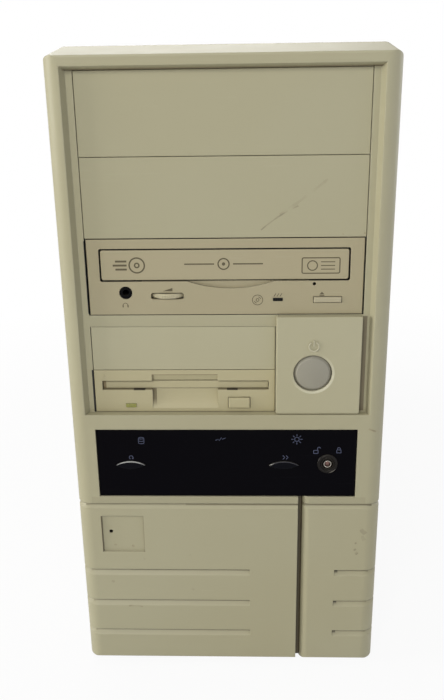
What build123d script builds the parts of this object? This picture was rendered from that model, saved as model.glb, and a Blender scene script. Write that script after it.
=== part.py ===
from build123d import *
import math
import os

# A beige mini-tower home computer, in millimetres. X runs to the user's right, Y runs back
# from the front, Z is up. The origin is on the ground under the middle of the case.

# ---------------------------------------------------------------- driving dimensions
# Case and front moulding
case_width = 178.0
case_depth = 410.0
case_height = 368.6
foot_height = 5.0  # ground to the underside of the front moulding
rear_overhang = 5.0  # room for ports and fan guard behind the rear panel
fit_gap = 0.3  # between fitted pieces
sheet = 1.0  # steel of the chassis, cages and drive cases
bezel_depth = 40.0
bezel_wall = 2.6
bezel_corner = 8.0  # upright front corners, seen from above
bezel_edge = 4.5  # rounding along the sides of the top
bezel_base_edge = 1.2  # rounding along the sides of the base
bezel_front_edge = 1.0  # rounding of the front's upper and lower edges
top_slope = 3.9  # fall of the top towards the user
lower_wall = 5.2  # front wall where the grooves run
lip_length = 4.0  # lip that locates the cover
lip_wall = 2.0
cover_step = 0.6  # how far the cover lies inside the moulding

# Recess and drive bays
rim_width = 8.8
recess_depth = 5.0
recess_draft = 2.0  # lean of the side and top walls
bay_width = 149.4
bay_pitch = 42.5
bay_count = 3
bay_top_margin = 11.1
bay_bar = 6.6  # bar under the wide bays
narrow_bay_width = 102.1
narrow_bay_pitch = 25.5
narrow_bay_count = 2
blank_rim = 5.0
blank_wall = 2.0
blank_tab = 14.0  # width of a blank's spring tab
blank_tab_length = 12.0

# Display panel, its buttons and the key lock
panel_width = 149.0
panel_height = 43.2
panel_gap = 9.0  # narrow bays to the panel
panel_shift = -0.6  # panel centre from the case centre
panel_set_back = 0.8
panel_flange = 3.0
panel_flange_wall = 1.5
panel_button_width = 17.3
panel_button_height = 5.0
panel_button_rise = 20.4  # centre above the panel's lower edge
reset_x = -55.9
turbo_x = 32.5
panel_button_length = 10.0
panel_button_travel = 1.5
lock_x = 57.4
lock_rise = 21.2
lock_radius = 6.0
lock_bore = 4.1
lock_play = 0.05
lock_length = 24.0
lock_nut_radius = 9.0
lock_nut_height = 3.0
cam_length = 13.0
cam_width = 6.0
led_radius = 1.5
led_rise = 36.0
led_length = 5.0
led_xs = (-49.2, -4.3, 39.7)
display_board_thickness = 1.6
display_board_set_back = 13.5  # panel's face to the board
display_board_margin = 5.0
tact_size = 6.0

# Grooves and badge seat of the lower front
line_drop = 4.6  # panel to the full-width groove
line_height = 3.4
line_depth = 1.6
rib_drop = 45.5  # full-width groove to the first short groove
rib_pitch = 22.0
rib_count = 3
rib_height = 4.2
rib_depth = 3.2
rib_side_depth = 1.6  # where a short groove runs back along the side
rib_left_end = 12.6
rib_right_end = 63.4
split_x = 41.0
split_width = 2.0
split_depth = 4.2
split_radius = 5.0
badge_size = 24.6
badge_x = -62.8
badge_drop = 20.9  # full-width groove to the badge's centre
badge_depth = 1.2
badge_hole_radius = 1.15
badge_hole_x = -70.1

# Power switch insert
insert_width = 46.7
insert_set_back = 0.9
insert_edge = 0.6
insert_skirt_step = 2.0
power_x = 47.8
power_rise = 24.7  # button centre above the narrow bays' lower edge
power_radius = 10.3
power_dome = 1.4
power_rim = 1.5
power_stem_radius = 3.0
power_length = 14.0
switch_width = 22.0
switch_height = 16.0
switch_length = 34.0
switch_ear = 8.0

# Disc drive in the lowest wide bay
cd_face_width = 147.8
cd_face_height = 41.8
cd_face_thickness = 3.0
cd_case_width = 146.0
cd_case_height = 40.4
cd_case_length = 195.0
cd_deck = 1.6
tray_width = 132.6
tray_height = 16.5
tray_rise = 19.4  # lower edge above the face's lower edge
tray_shift = -0.35
tray_gap = 0.8
tray_edge = 0.6  # softened edges of the tray front and the drives' buttons
tray_corner = 1.2
tray_plate = 5.5
tray_length = 148.0
disc_radius = 60.5
disc_seat_depth = 2.6
lens_slot_length = 45.0
scoop_width = 51.5
scoop_shift = 3.6  # to the right of the tray's middle
scoop_depth = 4.8
scoop_cut = 1.8
jack_x = -53.9
jack_rise = 12.4
jack_radius = 3.4
jack_bore = 1.8
jack_length = 14.0
wheel_x = -31.4
wheel_rise = 10.45
wheel_radius = 11.0
wheel_thickness = 2.6
wheel_proud = 1.8
wheel_slot_width = 17.8
wheel_slot_height = 3.7
wheel_axle_radius = 1.5
busy_x = 28.35
busy_rise = 8.3
busy_width = 5.3
busy_height = 1.8
pinhole_x = 47.8
pinhole_rise = 16.9
pinhole_radius = 0.9
cd_eject_x = 55.15
cd_eject_rise = 8.05
cd_eject_width = 14.9
cd_eject_height = 3.1
cd_eject_proud = 0.8
cd_eject_length = 7.0
spindle_radius = 13.0
spindle_axle_radius = 2.0
spindle_clearance = 0.6

# Diskette drive in the lowest narrow bay
floppy_width = 101.6
floppy_height = 25.2
floppy_face_thickness = 4.0
floppy_length = 146.0
slot_width = 93.8
slot_shift = 0.4  # slot centre from the face's centre
slot_height = 5.4
slot_drop = 6.4  # face's top edge to the slot's top edge
thumb_width = 37.0
thumb_shift = 0.25
thumb_top_drop = 2.6
thumb_bottom_rise = 2.2
thumb_cut = 2.4
flap_thickness = 1.0
flap_pin_radius = 0.8
floppy_eject_width = 12.0
floppy_eject_height = 6.2
floppy_eject_shift = 30.7
floppy_eject_rise = 5.5
floppy_eject_proud = 1.2
floppy_eject_length = 16.0
floppy_led_shift = -30.6
floppy_led_rise = 3.8
floppy_led_width = 6.0
floppy_led_height = 2.4

# Hard disk and cages
disk_height = 25.4
disk_length = 146.0
disk_corner = 3.0
disk_drop = 29.4  # narrow bays' lower edge to the disk's underside
disk_board = 1.6
disk_cover_step = 1.5
disk_board_set_back = 34.0
cage_length = 152.0
cage_play = 0.3
cage_flange = 8.0

# Chassis
base_rise = 3.0  # moulding's underside to the base
chassis_play = 0.4
chassis_corner = 3.0
pan_wall = 14.0
tray_top_margin = 20.0  # board tray above the board
tray_front_margin = 8.0
rail_height = 12.0
foot_radius = 10.0
foot_inset = 22.0
foot_front = 42.0
foot_back = 40.0
foot_taper = 10.0  # degrees
boss_radius = 4.0
boss_inset = 5.0
flange_width = 10.0  # folded rear edge of the cover
cover_screw_shares = (0.125, 0.5, 0.875)  # of the chassis height
screw_radius = 1.6
screw_head_radius = 3.2
screw_head_height = 2.0
screw_length = 6.0

# Power supply
psu_width = 150.0
psu_length = 140.0
psu_height = 86.0
psu_drop = 3.5  # chassis top to the supply
psu_window_margin = 3.0  # rear panel's edge round the supply
fan_size = 80.0
fan_depth = 25.0
fan_bore = 38.0
fan_x = -30.0
fan_tip_gap = 1.0
fan_hub_radius = 17.0
fan_blades = 7
blade_pitch = 40.0  # degrees
blade_chord = 1.2  # times the hub's depth
fan_axle_radius = 2.5
fan_axle_play = 0.08
fan_bearing_radius = 6.0
fan_strut = 6.0
fan_plate = 3.0
guard_wire = 1.5
guard_rings = (12.0, 23.0, 34.0)
guard_hub_radius = 4.0
socket_x = 42.0
socket_width = 30.0
socket_height = 22.0
socket_depth = 16.0
socket_flange = 2.0
socket_rim = 3.0
inlet_rise = 20.0
outlet_rise = 50.0
pin_width = 2.0
pin_height = 4.0
pin_pitch = 7.0
pin_recess = 6.0  # socket mouth to the blades
selector_width = 12.0
selector_height = 7.0
selector_travel = 4.0
selector_drop = 8.0
vent_width = 4.0
vent_pitch = 9.0
vent_count = 12
vent_length = 43.0

# System board and what stands on it
board_height = 220.0
board_length = 249.0
board_thickness = 1.6
board_bottom_margin = 26.0  # base to the board's lower edge
board_rear_gap = 2.0
standoff_length = 5.0
standoff_radius = 3.0
standoff_inset = 10.0
slot_count = 7
slot_pitch = 20.32
first_slot_drop = 36.0  # board's top edge to the first slot
slot_body_height = 9.0
slot_body_width = 8.0
long_slot = 138.0
short_slot = 85.0
long_slots = 4
slot_rear_gap = 18.0
keyboard_drop = 12.0  # board's top edge to the middle of the socket and of the supply header
keyboard_radius = 8.0
keyboard_body = 18.0
keyboard_bore = 6.6
power_plug_back = 166.0  # board's rear edge to the supply header
module_count = 4
module_length = 108.0
module_height = 25.0
module_thickness = 1.3
module_pitch = 10.0
module_front = 12.0
module_drop = 40.0
module_chips = 8
module_chip_height = 16.0
chip_height = 3.0
chipset_size = 30.0
sink_size = 50.0
sink_height = 14.0
sink_base = 4.0
sink_fins = 9
sink_fin = 1.6
sink_y = -18.0
sink_rise = 40.0
small_fan_size = 40.0
small_fan_depth = 10.0
small_fan_bore = 18.5
small_fan_hub = 8.0

# Expansion cards
card_height = 98.0
card_thickness = 1.6
card_seat = 4.0  # edge that goes into the slot
bracket_height = 118.0
bracket_width = 18.4
bracket_thickness = 0.9
bracket_overlap = 6.0
video_length = 130.0
sound_length = 165.0
io_length = 110.0
floppy_header_back = 66.0  # bracket to the connector
disk_header_back = 88.0
io_index = 1  # slots counted from the top
video_index = 3
sound_index = 5
# chips of each card: shares of the card's height and length, and size
video_chips = ((0.5, 0.45, 28.0), (0.25, 0.8, 18.0), (0.5, 0.8, 18.0))
sound_chips = ((0.55, 0.4, 24.0), (0.3, 0.6, 14.0), (0.7, 0.75, 20.0))
io_chips = ((0.55, 0.25, 22.0),)
port_depth = 5.5
port_height = 8.4
port_sink = 2.5  # how far a port reaches below the top of its card
video_port_width = 17.0
game_port_width = 26.0
printer_port_width = 39.0
audio_jack_radius = 3.2
audio_jack_bore = 1.8
audio_jack_pitch = 12.0
audio_jacks = 4
game_port_shift = 66.0  # card's free edge to the middle of the port

# Wiring and speaker
ribbon_thickness = 0.9
ribbon_bend = 8.0
floppy_ribbon_width = 43.2
disk_ribbon_width = 50.8
header_width = 6.0
header_height = 9.0
lead_radius = 3.0
lead_bend = 14.0
plug_width = 21.0
plug_height = 8.0
plug_length = 16.0
cd_lead_x = -48.4
board_lead_x = 39.4
speaker_radius = 28.0
speaker_depth = 20.0
speaker_x = -30.0
speaker_rise = 52.0
speaker_magnet_radius = 14.0
sound_slots = 5
sound_slot_length = 42.0

# ---------------------------------------------------------------- places worked out
half_width = case_width / 2
front_y = -case_depth / 2
back_y = case_depth / 2
rear_face_y = back_y - rear_overhang
rear_inner_y = rear_face_y - sheet
bezel_back_y = front_y + bezel_depth
recess_y = front_y + recess_depth
rim_x = half_width - rim_width
recess_x = rim_x - recess_draft
bay_x = bay_width / 2
bay_top = case_height - bay_top_margin
bays_bottom = bay_top - bay_count * bay_pitch
narrow_top = bays_bottom - bay_bar
narrow_bottom = narrow_top - narrow_bay_count * narrow_bay_pitch
narrow_left = -bay_x
narrow_right = narrow_left + narrow_bay_width
narrow_x = (narrow_left + narrow_right) / 2
panel_top = narrow_bottom - panel_gap
panel_bottom = panel_top - panel_height
panel_y = front_y + panel_set_back
line_top = panel_bottom - line_drop
cover_half = half_width - cover_step
cover_top = case_height - cover_step
lip_half = cover_half - sheet - fit_gap
lip_top = cover_top - sheet - fit_gap
chassis_half = lip_half - lip_wall - chassis_play
chassis_top = lip_top - lip_wall - chassis_play
base_z = foot_height + base_rise
plate_y = bezel_back_y  # chassis front plate, from here back by one sheet
cage_front_y = plate_y + sheet
cage_back_y = plate_y + cage_length
switch_z = narrow_bottom + power_rise


def front(y):
    """Plane at depth y that faces the user, with local axes X and Z."""
    return Plane.XZ.offset(-y)


def side(x):
    """Plane at x that faces +X, with local axes Y and Z."""
    return Plane.YZ.offset(x)


def level(z):
    """Horizontal plane at height z, with local axes X and Y."""
    return Plane.XY.offset(z)


def span(u, v, corner=0.0, mode=Mode.ADD):
    """Rectangle over the limits u = (low, high) and v = (low, high), in the open sketch."""
    with Locations(((u[0] + u[1]) / 2, (v[0] + v[1]) / 2)):
        if corner:
            RectangleRounded(u[1] - u[0], v[1] - v[0], corner, mode=mode)
        else:
            Rectangle(u[1] - u[0], v[1] - v[0], mode=mode)


def about(centre, size):
    """Limits of a length centred on a place."""
    return (centre - size / 2, centre + size / 2)


def prism(plane, u, v, length, corner=0.0, mode=Mode.ADD):
    """Rectangular prism on a plane, with its length along the plane's normal."""
    with BuildSketch(plane) as outline:
        span(u, v, corner)
    extrude(outline.sketch, amount=length, mode=mode)


def rod(plane, u, v, radius, length, mode=Mode.ADD):
    """Round bar on a plane, with its length along the plane's normal."""
    with BuildSketch(plane) as outline:
        with Locations((u, v)):
            Circle(radius)
    extrude(outline.sketch, amount=length, mode=mode)


def tube(plane, u, v, radius, bore, length):
    """Round bar with a bore right through it."""
    with BuildSketch(plane) as outline:
        with Locations((u, v)):
            Circle(radius)
            Circle(bore, mode=Mode.SUBTRACT)
    extrude(outline.sketch, amount=length)


def lens_prism(y, x, width, height, length, mode=Mode.ADD):
    """Prism between two equal arcs, pointed at its left and right ends, at the button height."""
    with BuildSketch(front(y)) as outline:
        with BuildLine():
            ThreePointArc(
                (x - width / 2, button_z), (x, button_z + height / 2), (x + width / 2, button_z)
            )
            ThreePointArc(
                (x + width / 2, button_z), (x, button_z - height / 2), (x - width / 2, button_z)
            )
        make_face()
    extrude(outline.sketch, amount=length, mode=mode)


def save(name, piece):
    """Write one finished piece under its name."""
    piece.part.label = name
    export_step(piece.part, f"parts/{name}.step")


os.makedirs("parts", exist_ok=True)


# ---------------------------------------------------------------- front moulding
def groove_round(height, depth, side_depth):
    """What a groove takes away round the front and sides: a flat roof, a floor that slopes out."""
    with BuildPart() as groove:
        prism(
            Plane.XY,
            (-case_width, case_width),
            (front_y - depth, bezel_back_y),
            -height,
        )
        with BuildSketch(Plane.XY) as core:
            span(
                (side_depth - half_width, half_width - side_depth),
                (front_y + depth, bezel_back_y + bezel_corner),
            )
            fillet(core.vertices().group_by(Axis.Y)[0], radius=bezel_corner - side_depth)
        lean = math.degrees(math.atan2(depth, height))
        extrude(core.sketch, amount=-height, taper=-lean, mode=Mode.SUBTRACT)
    return groove.part


line_groove = groove_round(line_height, line_depth, line_depth)
rib_groove = groove_round(rib_height, rib_depth, rib_side_depth)

with BuildPart() as rib_grooves:
    for rib in range(rib_count):
        with Locations((0, 0, line_top - rib_drop - rib * rib_pitch)):
            add(rib_groove)
    # the front is whole between the left and the right grooves
    prism(
        level(foot_height),
        (rib_left_end, rib_right_end),
        (front_y - rib_depth, bezel_back_y),
        line_top - foot_height,
        mode=Mode.SUBTRACT,
    )

with BuildPart() as bezel_hollow:
    # deeper front wall above, where the recess lies
    for wall_y, hollow_z in (
        (front_y + lower_wall, (foot_height + bezel_wall, narrow_bottom - bezel_wall)),
        (recess_y + bezel_wall, (narrow_bottom - bezel_wall, case_height)),
    ):
        with BuildSketch(level(hollow_z[0])) as hollow_plan:
            span((bezel_wall - half_width, half_width - bezel_wall), (wall_y, bezel_back_y))
            fillet(
                hollow_plan.vertices().group_by(Axis.Y)[0],
                radius=bezel_corner - bezel_wall,
            )
        extrude(amount=hollow_z[1] - hollow_z[0])
    # under the sloping top
    with BuildSketch(Plane.YZ):
        with BuildLine():
            Polyline(
                (front_y, foot_height),
                (bezel_back_y, foot_height),
                (bezel_back_y, case_height - bezel_wall),
                (front_y, case_height - top_slope - bezel_wall),
                close=True,
            )
        make_face()
    extrude(amount=half_width, both=True, mode=Mode.INTERSECT)

with BuildPart() as front_bezel:
    # outline seen from the front, with a top that rises to the back
    for end_y, end_top in ((front_y, case_height - top_slope), (bezel_back_y, case_height)):
        with BuildSketch(front(end_y)) as bezel_end:
            span((-half_width, half_width), (foot_height, end_top))
            fillet(bezel_end.vertices().group_by(Axis.Y)[-1], radius=bezel_edge)
            fillet(bezel_end.vertices().group_by(Axis.Y)[0], radius=bezel_base_edge)
    loft()
    # outline seen from above
    with BuildSketch(Plane.XY) as bezel_plan:
        span((-half_width, half_width), (front_y, bezel_back_y))
        fillet(bezel_plan.vertices().group_by(Axis.Y)[0], radius=bezel_corner)
    extrude(amount=case_height, mode=Mode.INTERSECT)
    # outline seen from the side
    with BuildSketch(Plane.YZ) as bezel_side:
        with BuildLine():
            Polyline(
                (front_y, foot_height),
                (bezel_back_y, foot_height),
                (bezel_back_y, case_height),
                (front_y, case_height - top_slope),
                close=True,
            )
        make_face()
        fillet(bezel_side.vertices().group_by(Axis.X)[0], radius=bezel_front_edge)
    extrude(amount=half_width, both=True, mode=Mode.INTERSECT)
    add(bezel_hollow.part, mode=Mode.SUBTRACT)
    # lip inside the cover
    with BuildSketch(front(bezel_back_y - lip_length)) as lip:
        span((-lip_half, lip_half), (base_z, lip_top))
        fillet(lip.vertices().group_by(Axis.Y)[-1], radius=bezel_edge)
        span(
            (lip_wall - lip_half, lip_half - lip_wall),
            (base_z - lip_wall, lip_top - lip_wall),
            mode=Mode.SUBTRACT,
        )
    extrude(amount=-2 * lip_length)
    # bosses that bear on the chassis plate
    for boss_x in (-1, 1):
        for boss_z in (base_z + boss_inset, chassis_top - boss_inset):
            rod(
                front(plate_y),
                boss_x * (chassis_half - boss_inset),
                boss_z,
                boss_radius,
                plate_y - recess_y,
            )
    # leaning recess round the drives
    with BuildSketch(front(front_y)):
        span((-rim_x, rim_x), (narrow_bottom, bay_top + recess_draft))
    with BuildSketch(front(recess_y)):
        span((-recess_x, recess_x), (narrow_bottom, bay_top))
    loft(mode=Mode.SUBTRACT)
    # openings of the bays, the insert and the display panel
    insert_left = narrow_right
    insert_right = insert_left + insert_width
    for opening_x, opening_z in (
        ((-bay_x, bay_x), (bays_bottom, bay_top)),
        ((narrow_left, narrow_right), (narrow_bottom, narrow_top)),
        (
            (insert_left + insert_skirt_step, insert_right - insert_skirt_step),
            (narrow_bottom + insert_skirt_step, bays_bottom - insert_skirt_step),
        ),
        (about(panel_shift, panel_width), (panel_bottom, panel_top)),
    ):
        prism(front(front_y), opening_x, opening_z, -bezel_depth / 2, mode=Mode.SUBTRACT)
    with Locations((0, 0, line_top)):
        add(line_groove, mode=Mode.SUBTRACT)
    add(rib_grooves.part, mode=Mode.SUBTRACT)
    # upright groove with a rounded right edge
    with BuildSketch(level(foot_height)) as split_groove:
        with BuildLine():
            Polyline(
                (split_x + split_width + split_radius, front_y),
                (split_x, front_y),
                (split_x, front_y + split_depth),
                (split_x + split_width, front_y + split_depth),
                (split_x + split_width, front_y + split_radius),
            )
            CenterArc(
                (split_x + split_width + split_radius, front_y + split_radius),
                split_radius,
                180,
                90,
            )
        make_face()
    extrude(amount=panel_bottom - foot_height, mode=Mode.SUBTRACT)
    # badge seat with its push-out hole
    badge_z = line_top - badge_drop
    prism(
        front(front_y),
        about(badge_x, badge_size),
        about(badge_z, badge_size),
        -badge_depth,
        mode=Mode.SUBTRACT,
    )
    rod(
        front(front_y),
        badge_hole_x,
        badge_z + badge_hole_radius,
        badge_hole_radius,
        -lower_wall,
        mode=Mode.SUBTRACT,
    )
save("front_bezel", front_bezel)


# ---------------------------------------------------------------- bay blanks
def bay_blank(x_limits, z_limits):
    """Plate with a folded rim and a spring tab at each side, flush with the recess floor."""
    with BuildPart() as blank:
        prism(front(recess_y), x_limits, z_limits, -blank_rim)
        back = blank.faces().sort_by(Axis.Y)[-1]
        offset(amount=-blank_wall, openings=back)
        for tab_x in (
            (x_limits[0], x_limits[0] + blank_wall),
            (x_limits[1] - blank_wall, x_limits[1]),
        ):
            prism(
                front(recess_y + blank_rim),
                tab_x,
                about((z_limits[0] + z_limits[1]) / 2, blank_tab),
                -blank_tab_length,
            )
        face_edges = blank.faces().sort_by(Axis.Y)[0].edges()
        fillet(face_edges, radius=fit_gap)
    return blank


wide_blank_x = (-bay_x + fit_gap, bay_x - fit_gap)
for blank_name, blank_bay in (("bay_blank_upper", 0), ("bay_blank_lower", 1)):
    blank_top = bay_top - blank_bay * bay_pitch
    save(
        blank_name,
        bay_blank(wide_blank_x, (blank_top - bay_pitch + fit_gap / 2, blank_top - fit_gap / 2)),
    )
save(
    "small_bay_blank",
    bay_blank(
        (narrow_left + fit_gap, narrow_right - fit_gap),
        (narrow_top - narrow_bay_pitch + fit_gap / 2, narrow_top - fit_gap / 2),
    ),
)

# ---------------------------------------------------------------- power switch group
insert_y = front_y + insert_set_back
with BuildPart() as switch_panel:
    prism(
        front(recess_y),
        (insert_left + fit_gap, insert_right),
        (narrow_bottom + fit_gap, bays_bottom - fit_gap),
        recess_y - insert_y,
        corner=insert_edge,
    )
    fillet(switch_panel.faces().sort_by(Axis.Y)[0].edges(), radius=insert_edge / 2)
    prism(
        front(recess_y),
        (insert_left + insert_skirt_step + fit_gap, insert_right - insert_skirt_step - fit_gap),
        (
            narrow_bottom + insert_skirt_step + fit_gap,
            bays_bottom - insert_skirt_step - fit_gap,
        ),
        -bezel_wall,
    )
    rod(
        front(recess_y + bezel_wall),
        power_x,
        switch_z,
        power_radius + fit_gap + blank_wall,
        -recess_depth,
    )
    rod(
        front(insert_y),
        power_x,
        switch_z,
        power_radius + fit_gap,
        -2 * power_length,
        mode=Mode.SUBTRACT,
    )
save("switch_panel", switch_panel)

with BuildPart() as power_button:
    with BuildSketch(Plane.YZ.offset(power_x)) as button_half:
        with BuildLine():
            dome_start = (front_y + power_dome - power_rim / 2, switch_z + power_radius - power_rim)
            ThreePointArc(
                (front_y, switch_z),
                (
                    front_y + (dome_start[0] - front_y) / 4,
                    switch_z + (power_radius - power_rim) / 2,
                ),
                dome_start,
            )
            Polyline(
                dome_start,
                (front_y + power_dome + power_rim / 2, switch_z + power_radius),
                (front_y + power_length, switch_z + power_radius),
                (front_y + power_length, switch_z),
                (front_y, switch_z),
            )
        make_face()
    revolve(axis=Axis((power_x, 0, switch_z), (0, 1, 0)))
    rod(
        front(front_y + power_length),
        power_x,
        switch_z,
        power_radius - blank_wall,
        power_length - power_dome - blank_wall,
        mode=Mode.SUBTRACT,
    )
    rod(
        front(front_y + power_dome + blank_wall / 2),
        power_x,
        switch_z,
        power_stem_radius,
        -(plate_y - front_y),
    )
save("power_button", power_button)

switch_front_y = plate_y - switch_ear
with BuildPart() as power_switch:
    prism(
        front(switch_front_y),
        about(power_x, switch_width),
        about(switch_z, switch_height),
        -switch_length,
    )
    prism(
        front(plate_y - sheet),
        about(power_x, switch_width + 2 * switch_ear),
        about(switch_z, switch_height),
        -sheet,
    )
    rod(
        front(switch_front_y),
        power_x,
        switch_z,
        power_stem_radius + fit_gap,
        -switch_length / 2,
        mode=Mode.SUBTRACT,
    )
save("power_switch", power_switch)

# ---------------------------------------------------------------- display panel group
button_z = panel_bottom + panel_button_rise
lock_z = panel_bottom + lock_rise
led_z = panel_bottom + led_rise
panel_back_y = front_y + lower_wall
display_board_y = panel_y + display_board_set_back

with BuildPart() as display_panel:
    prism(
        front(panel_y),
        about(panel_shift, panel_width - 2 * fit_gap),
        (panel_bottom + fit_gap, panel_top - fit_gap),
        panel_y - panel_back_y,
    )
    prism(
        front(panel_back_y),
        about(panel_shift, panel_width + 2 * panel_flange),
        (panel_bottom - panel_flange, panel_top + panel_flange),
        -panel_flange_wall,
    )
    for button_x in (reset_x, turbo_x):
        lens_prism(
            panel_y,
            button_x,
            panel_button_width + 4 * fit_gap,
            panel_button_height + 2 * fit_gap,
            -display_board_set_back,
            mode=Mode.SUBTRACT,
        )
    rod(
        front(panel_y),
        lock_x,
        lock_z,
        lock_radius,
        -display_board_set_back,
        mode=Mode.SUBTRACT,
    )
    # posts that carry the display board
    for post_x in (-1, 1):
        for post_z in (panel_bottom + display_board_margin, panel_top - display_board_margin):
            rod(
                front(panel_back_y + panel_flange_wall),
                panel_shift + post_x * (panel_width / 2 - display_board_margin),
                post_z,
                blank_wall,
                panel_back_y + panel_flange_wall - display_board_y,
            )
save("display_panel", display_panel)


def panel_button(x):
    """Lens-shaped push button with a rounded face and a collar behind the panel."""
    with BuildPart() as button:
        lens_prism(front_y, x, panel_button_width, panel_button_height, -panel_button_length)
        lens_prism(
            panel_back_y + panel_flange_wall + fit_gap,
            x,
            panel_button_width + 8 * fit_gap,
            panel_button_height + 8 * fit_gap,
            -sheet,
        )
    return button


save("reset_button", panel_button(reset_x))
save("turbo_button", panel_button(turbo_x))

with BuildPart() as key_lock_barrel:
    tube(front(front_y), lock_x, lock_z, lock_radius, lock_bore, -lock_length)
    with BuildSketch(front(panel_back_y + panel_flange_wall)) as nut:
        with Locations((lock_x, lock_z)):
            RegularPolygon(lock_nut_radius, 6)
            Circle(lock_radius, mode=Mode.SUBTRACT)
    extrude(amount=-lock_nut_height)
save("key_lock_barrel", key_lock_barrel)

with BuildPart() as key_lock_cylinder:
    rod(
        front(front_y + fit_gap),
        lock_x,
        lock_z,
        lock_bore - lock_play,
        -(lock_length + fit_gap),
    )
    # ring slot for a tubular key, with the key's tab notch at the top
    with BuildSketch(front(front_y + fit_gap)) as key_slot:
        with Locations((lock_x, lock_z)):
            Circle(lock_bore * 3 / 4)
            Circle(lock_bore / 2, mode=Mode.SUBTRACT)
        span(about(lock_x, lock_bore / 4), (lock_z + lock_bore / 2, lock_z + lock_bore))
    extrude(amount=-recess_depth, mode=Mode.SUBTRACT)
    prism(
        front(front_y + lock_length + 2 * fit_gap),
        about(lock_x, cam_width),
        (lock_z - lock_bore, lock_z + cam_length),
        -sheet,
    )
save("key_lock_cylinder", key_lock_cylinder)

with BuildPart() as indicator_leds:
    for led_x in led_xs:
        rod(front(display_board_y), led_x, led_z, led_radius, led_length)
save("indicator_leds", indicator_leds)

with BuildPart() as display_board:
    prism(
        front(display_board_y),
        about(panel_shift, panel_width - 2 * fit_gap),
        (panel_bottom, panel_top),
        -display_board_thickness,
    )
    rod(
        front(display_board_y),
        lock_x,
        lock_z,
        cam_length + blank_wall,
        -display_board_thickness,
        mode=Mode.SUBTRACT,
    )
    for button_x in (reset_x, turbo_x):
        prism(
            front(display_board_y),
            about(button_x, tact_size),
            about(button_z, tact_size),
            display_board_y - front_y - panel_button_length - panel_button_travel - fit_gap,
        )
save("display_board", display_board)

# ---------------------------------------------------------------- disc drive
cd_bottom = bays_bottom + (bay_pitch - cd_face_height) / 2
cd_face_back_y = recess_y + cd_face_thickness
cd_z = cd_bottom + cd_face_height / 2
cd_case_bottom = cd_z - cd_case_height / 2
cd_case_back_y = cd_face_back_y + cd_case_length
tray_bottom = cd_bottom + tray_rise
tray_x = about(tray_shift, tray_width)
scoop_x = about(tray_shift + scoop_shift, scoop_width)
wheel_y = recess_y - wheel_proud + wheel_radius
wheel_z = cd_bottom + wheel_rise
jack_z = cd_bottom + jack_rise
cd_eject_z = cd_bottom + cd_eject_rise
disc_y = cd_face_back_y + disc_radius + tray_corner

with BuildPart() as cd_faceplate:
    prism(
        front(recess_y),
        about(0, cd_face_width),
        (cd_bottom, cd_bottom + cd_face_height),
        -cd_face_thickness,
    )
    fillet(cd_faceplate.faces().sort_by(Axis.Y)[0].edges(), radius=fit_gap)
    prism(
        front(recess_y),
        (tray_x[0] - tray_gap, tray_x[1] + tray_gap),
        (tray_bottom - tray_gap, tray_bottom + tray_height + tray_gap),
        -cd_face_thickness,
        corner=tray_corner,
        mode=Mode.SUBTRACT,
    )
    # finger scoop under the tray
    with BuildSketch(front(recess_y)) as scoop:
        with BuildLine():
            ThreePointArc(
                (scoop_x[0], tray_bottom),
                (tray_shift + scoop_shift, tray_bottom - scoop_depth),
                (scoop_x[1], tray_bottom),
            )
            Line((scoop_x[1], tray_bottom), (scoop_x[0], tray_bottom))
        make_face()
    extrude(amount=-scoop_cut, mode=Mode.SUBTRACT)
    rod(
        front(recess_y),
        jack_x,
        jack_z,
        jack_radius + fit_gap / 2,
        -cd_face_thickness,
        mode=Mode.SUBTRACT,
    )
    prism(
        front(recess_y),
        about(wheel_x, wheel_slot_width),
        about(wheel_z, wheel_slot_height),
        -cd_face_thickness,
        corner=tray_corner,
        mode=Mode.SUBTRACT,
    )
    rod(
        level(wheel_z - wheel_slot_height / 2),
        wheel_x,
        wheel_y,
        wheel_radius + fit_gap,
        wheel_slot_height,
        mode=Mode.SUBTRACT,
    )
    prism(
        front(recess_y),
        about(busy_x, busy_width),
        about(cd_bottom + busy_rise, busy_height),
        -cd_face_thickness,
        mode=Mode.SUBTRACT,
    )
    rod(
        front(recess_y),
        pinhole_x,
        cd_bottom + pinhole_rise,
        pinhole_radius,
        -cd_face_thickness,
        mode=Mode.SUBTRACT,
    )
    prism(
        front(recess_y),
        about(cd_eject_x, cd_eject_width + 2 * fit_gap),
        about(cd_eject_z, cd_eject_height + 2 * fit_gap),
        -cd_face_thickness,
        mode=Mode.SUBTRACT,
    )
save("cd_faceplate", cd_faceplate)

with BuildPart() as cd_tray_front:
    prism(
        front(recess_y),
        tray_x,
        (tray_bottom, tray_bottom + tray_height),
        -cd_face_thickness,
        corner=tray_corner,
    )
    fillet(cd_tray_front.faces().sort_by(Axis.Y)[0].edges(), radius=tray_edge)
save("cd_tray_front", cd_tray_front)

tray_plate_x = (tray_x[0] + tray_corner + tray_gap, tray_x[1] - tray_corner - tray_gap)
with BuildPart() as cd_tray:
    prism(
        level(tray_bottom + tray_gap),
        tray_plate_x,
        (cd_face_back_y, cd_face_back_y + tray_length),
        tray_plate,
    )
    rod(
        level(tray_bottom + tray_gap + tray_plate),
        tray_shift,
        disc_y,
        disc_radius,
        -disc_seat_depth,
        mode=Mode.SUBTRACT,
    )
    # slot over the spindle and the lens
    with BuildSketch(level(tray_bottom + tray_gap)) as lens_slot:
        with Locations((tray_shift, disc_y)):
            Circle(spindle_radius + 2 * spindle_clearance)
        span(
            about(tray_shift, 2 * spindle_radius),
            (disc_y, disc_y + lens_slot_length),
        )
    extrude(amount=tray_plate, mode=Mode.SUBTRACT)
save("cd_tray", cd_tray)

with BuildPart() as cd_volume_wheel:
    tube(
        level(wheel_z - wheel_thickness / 2),
        wheel_x,
        wheel_y,
        wheel_radius,
        wheel_axle_radius + lock_play,
        wheel_thickness,
    )
save("cd_volume_wheel", cd_volume_wheel)

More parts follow.
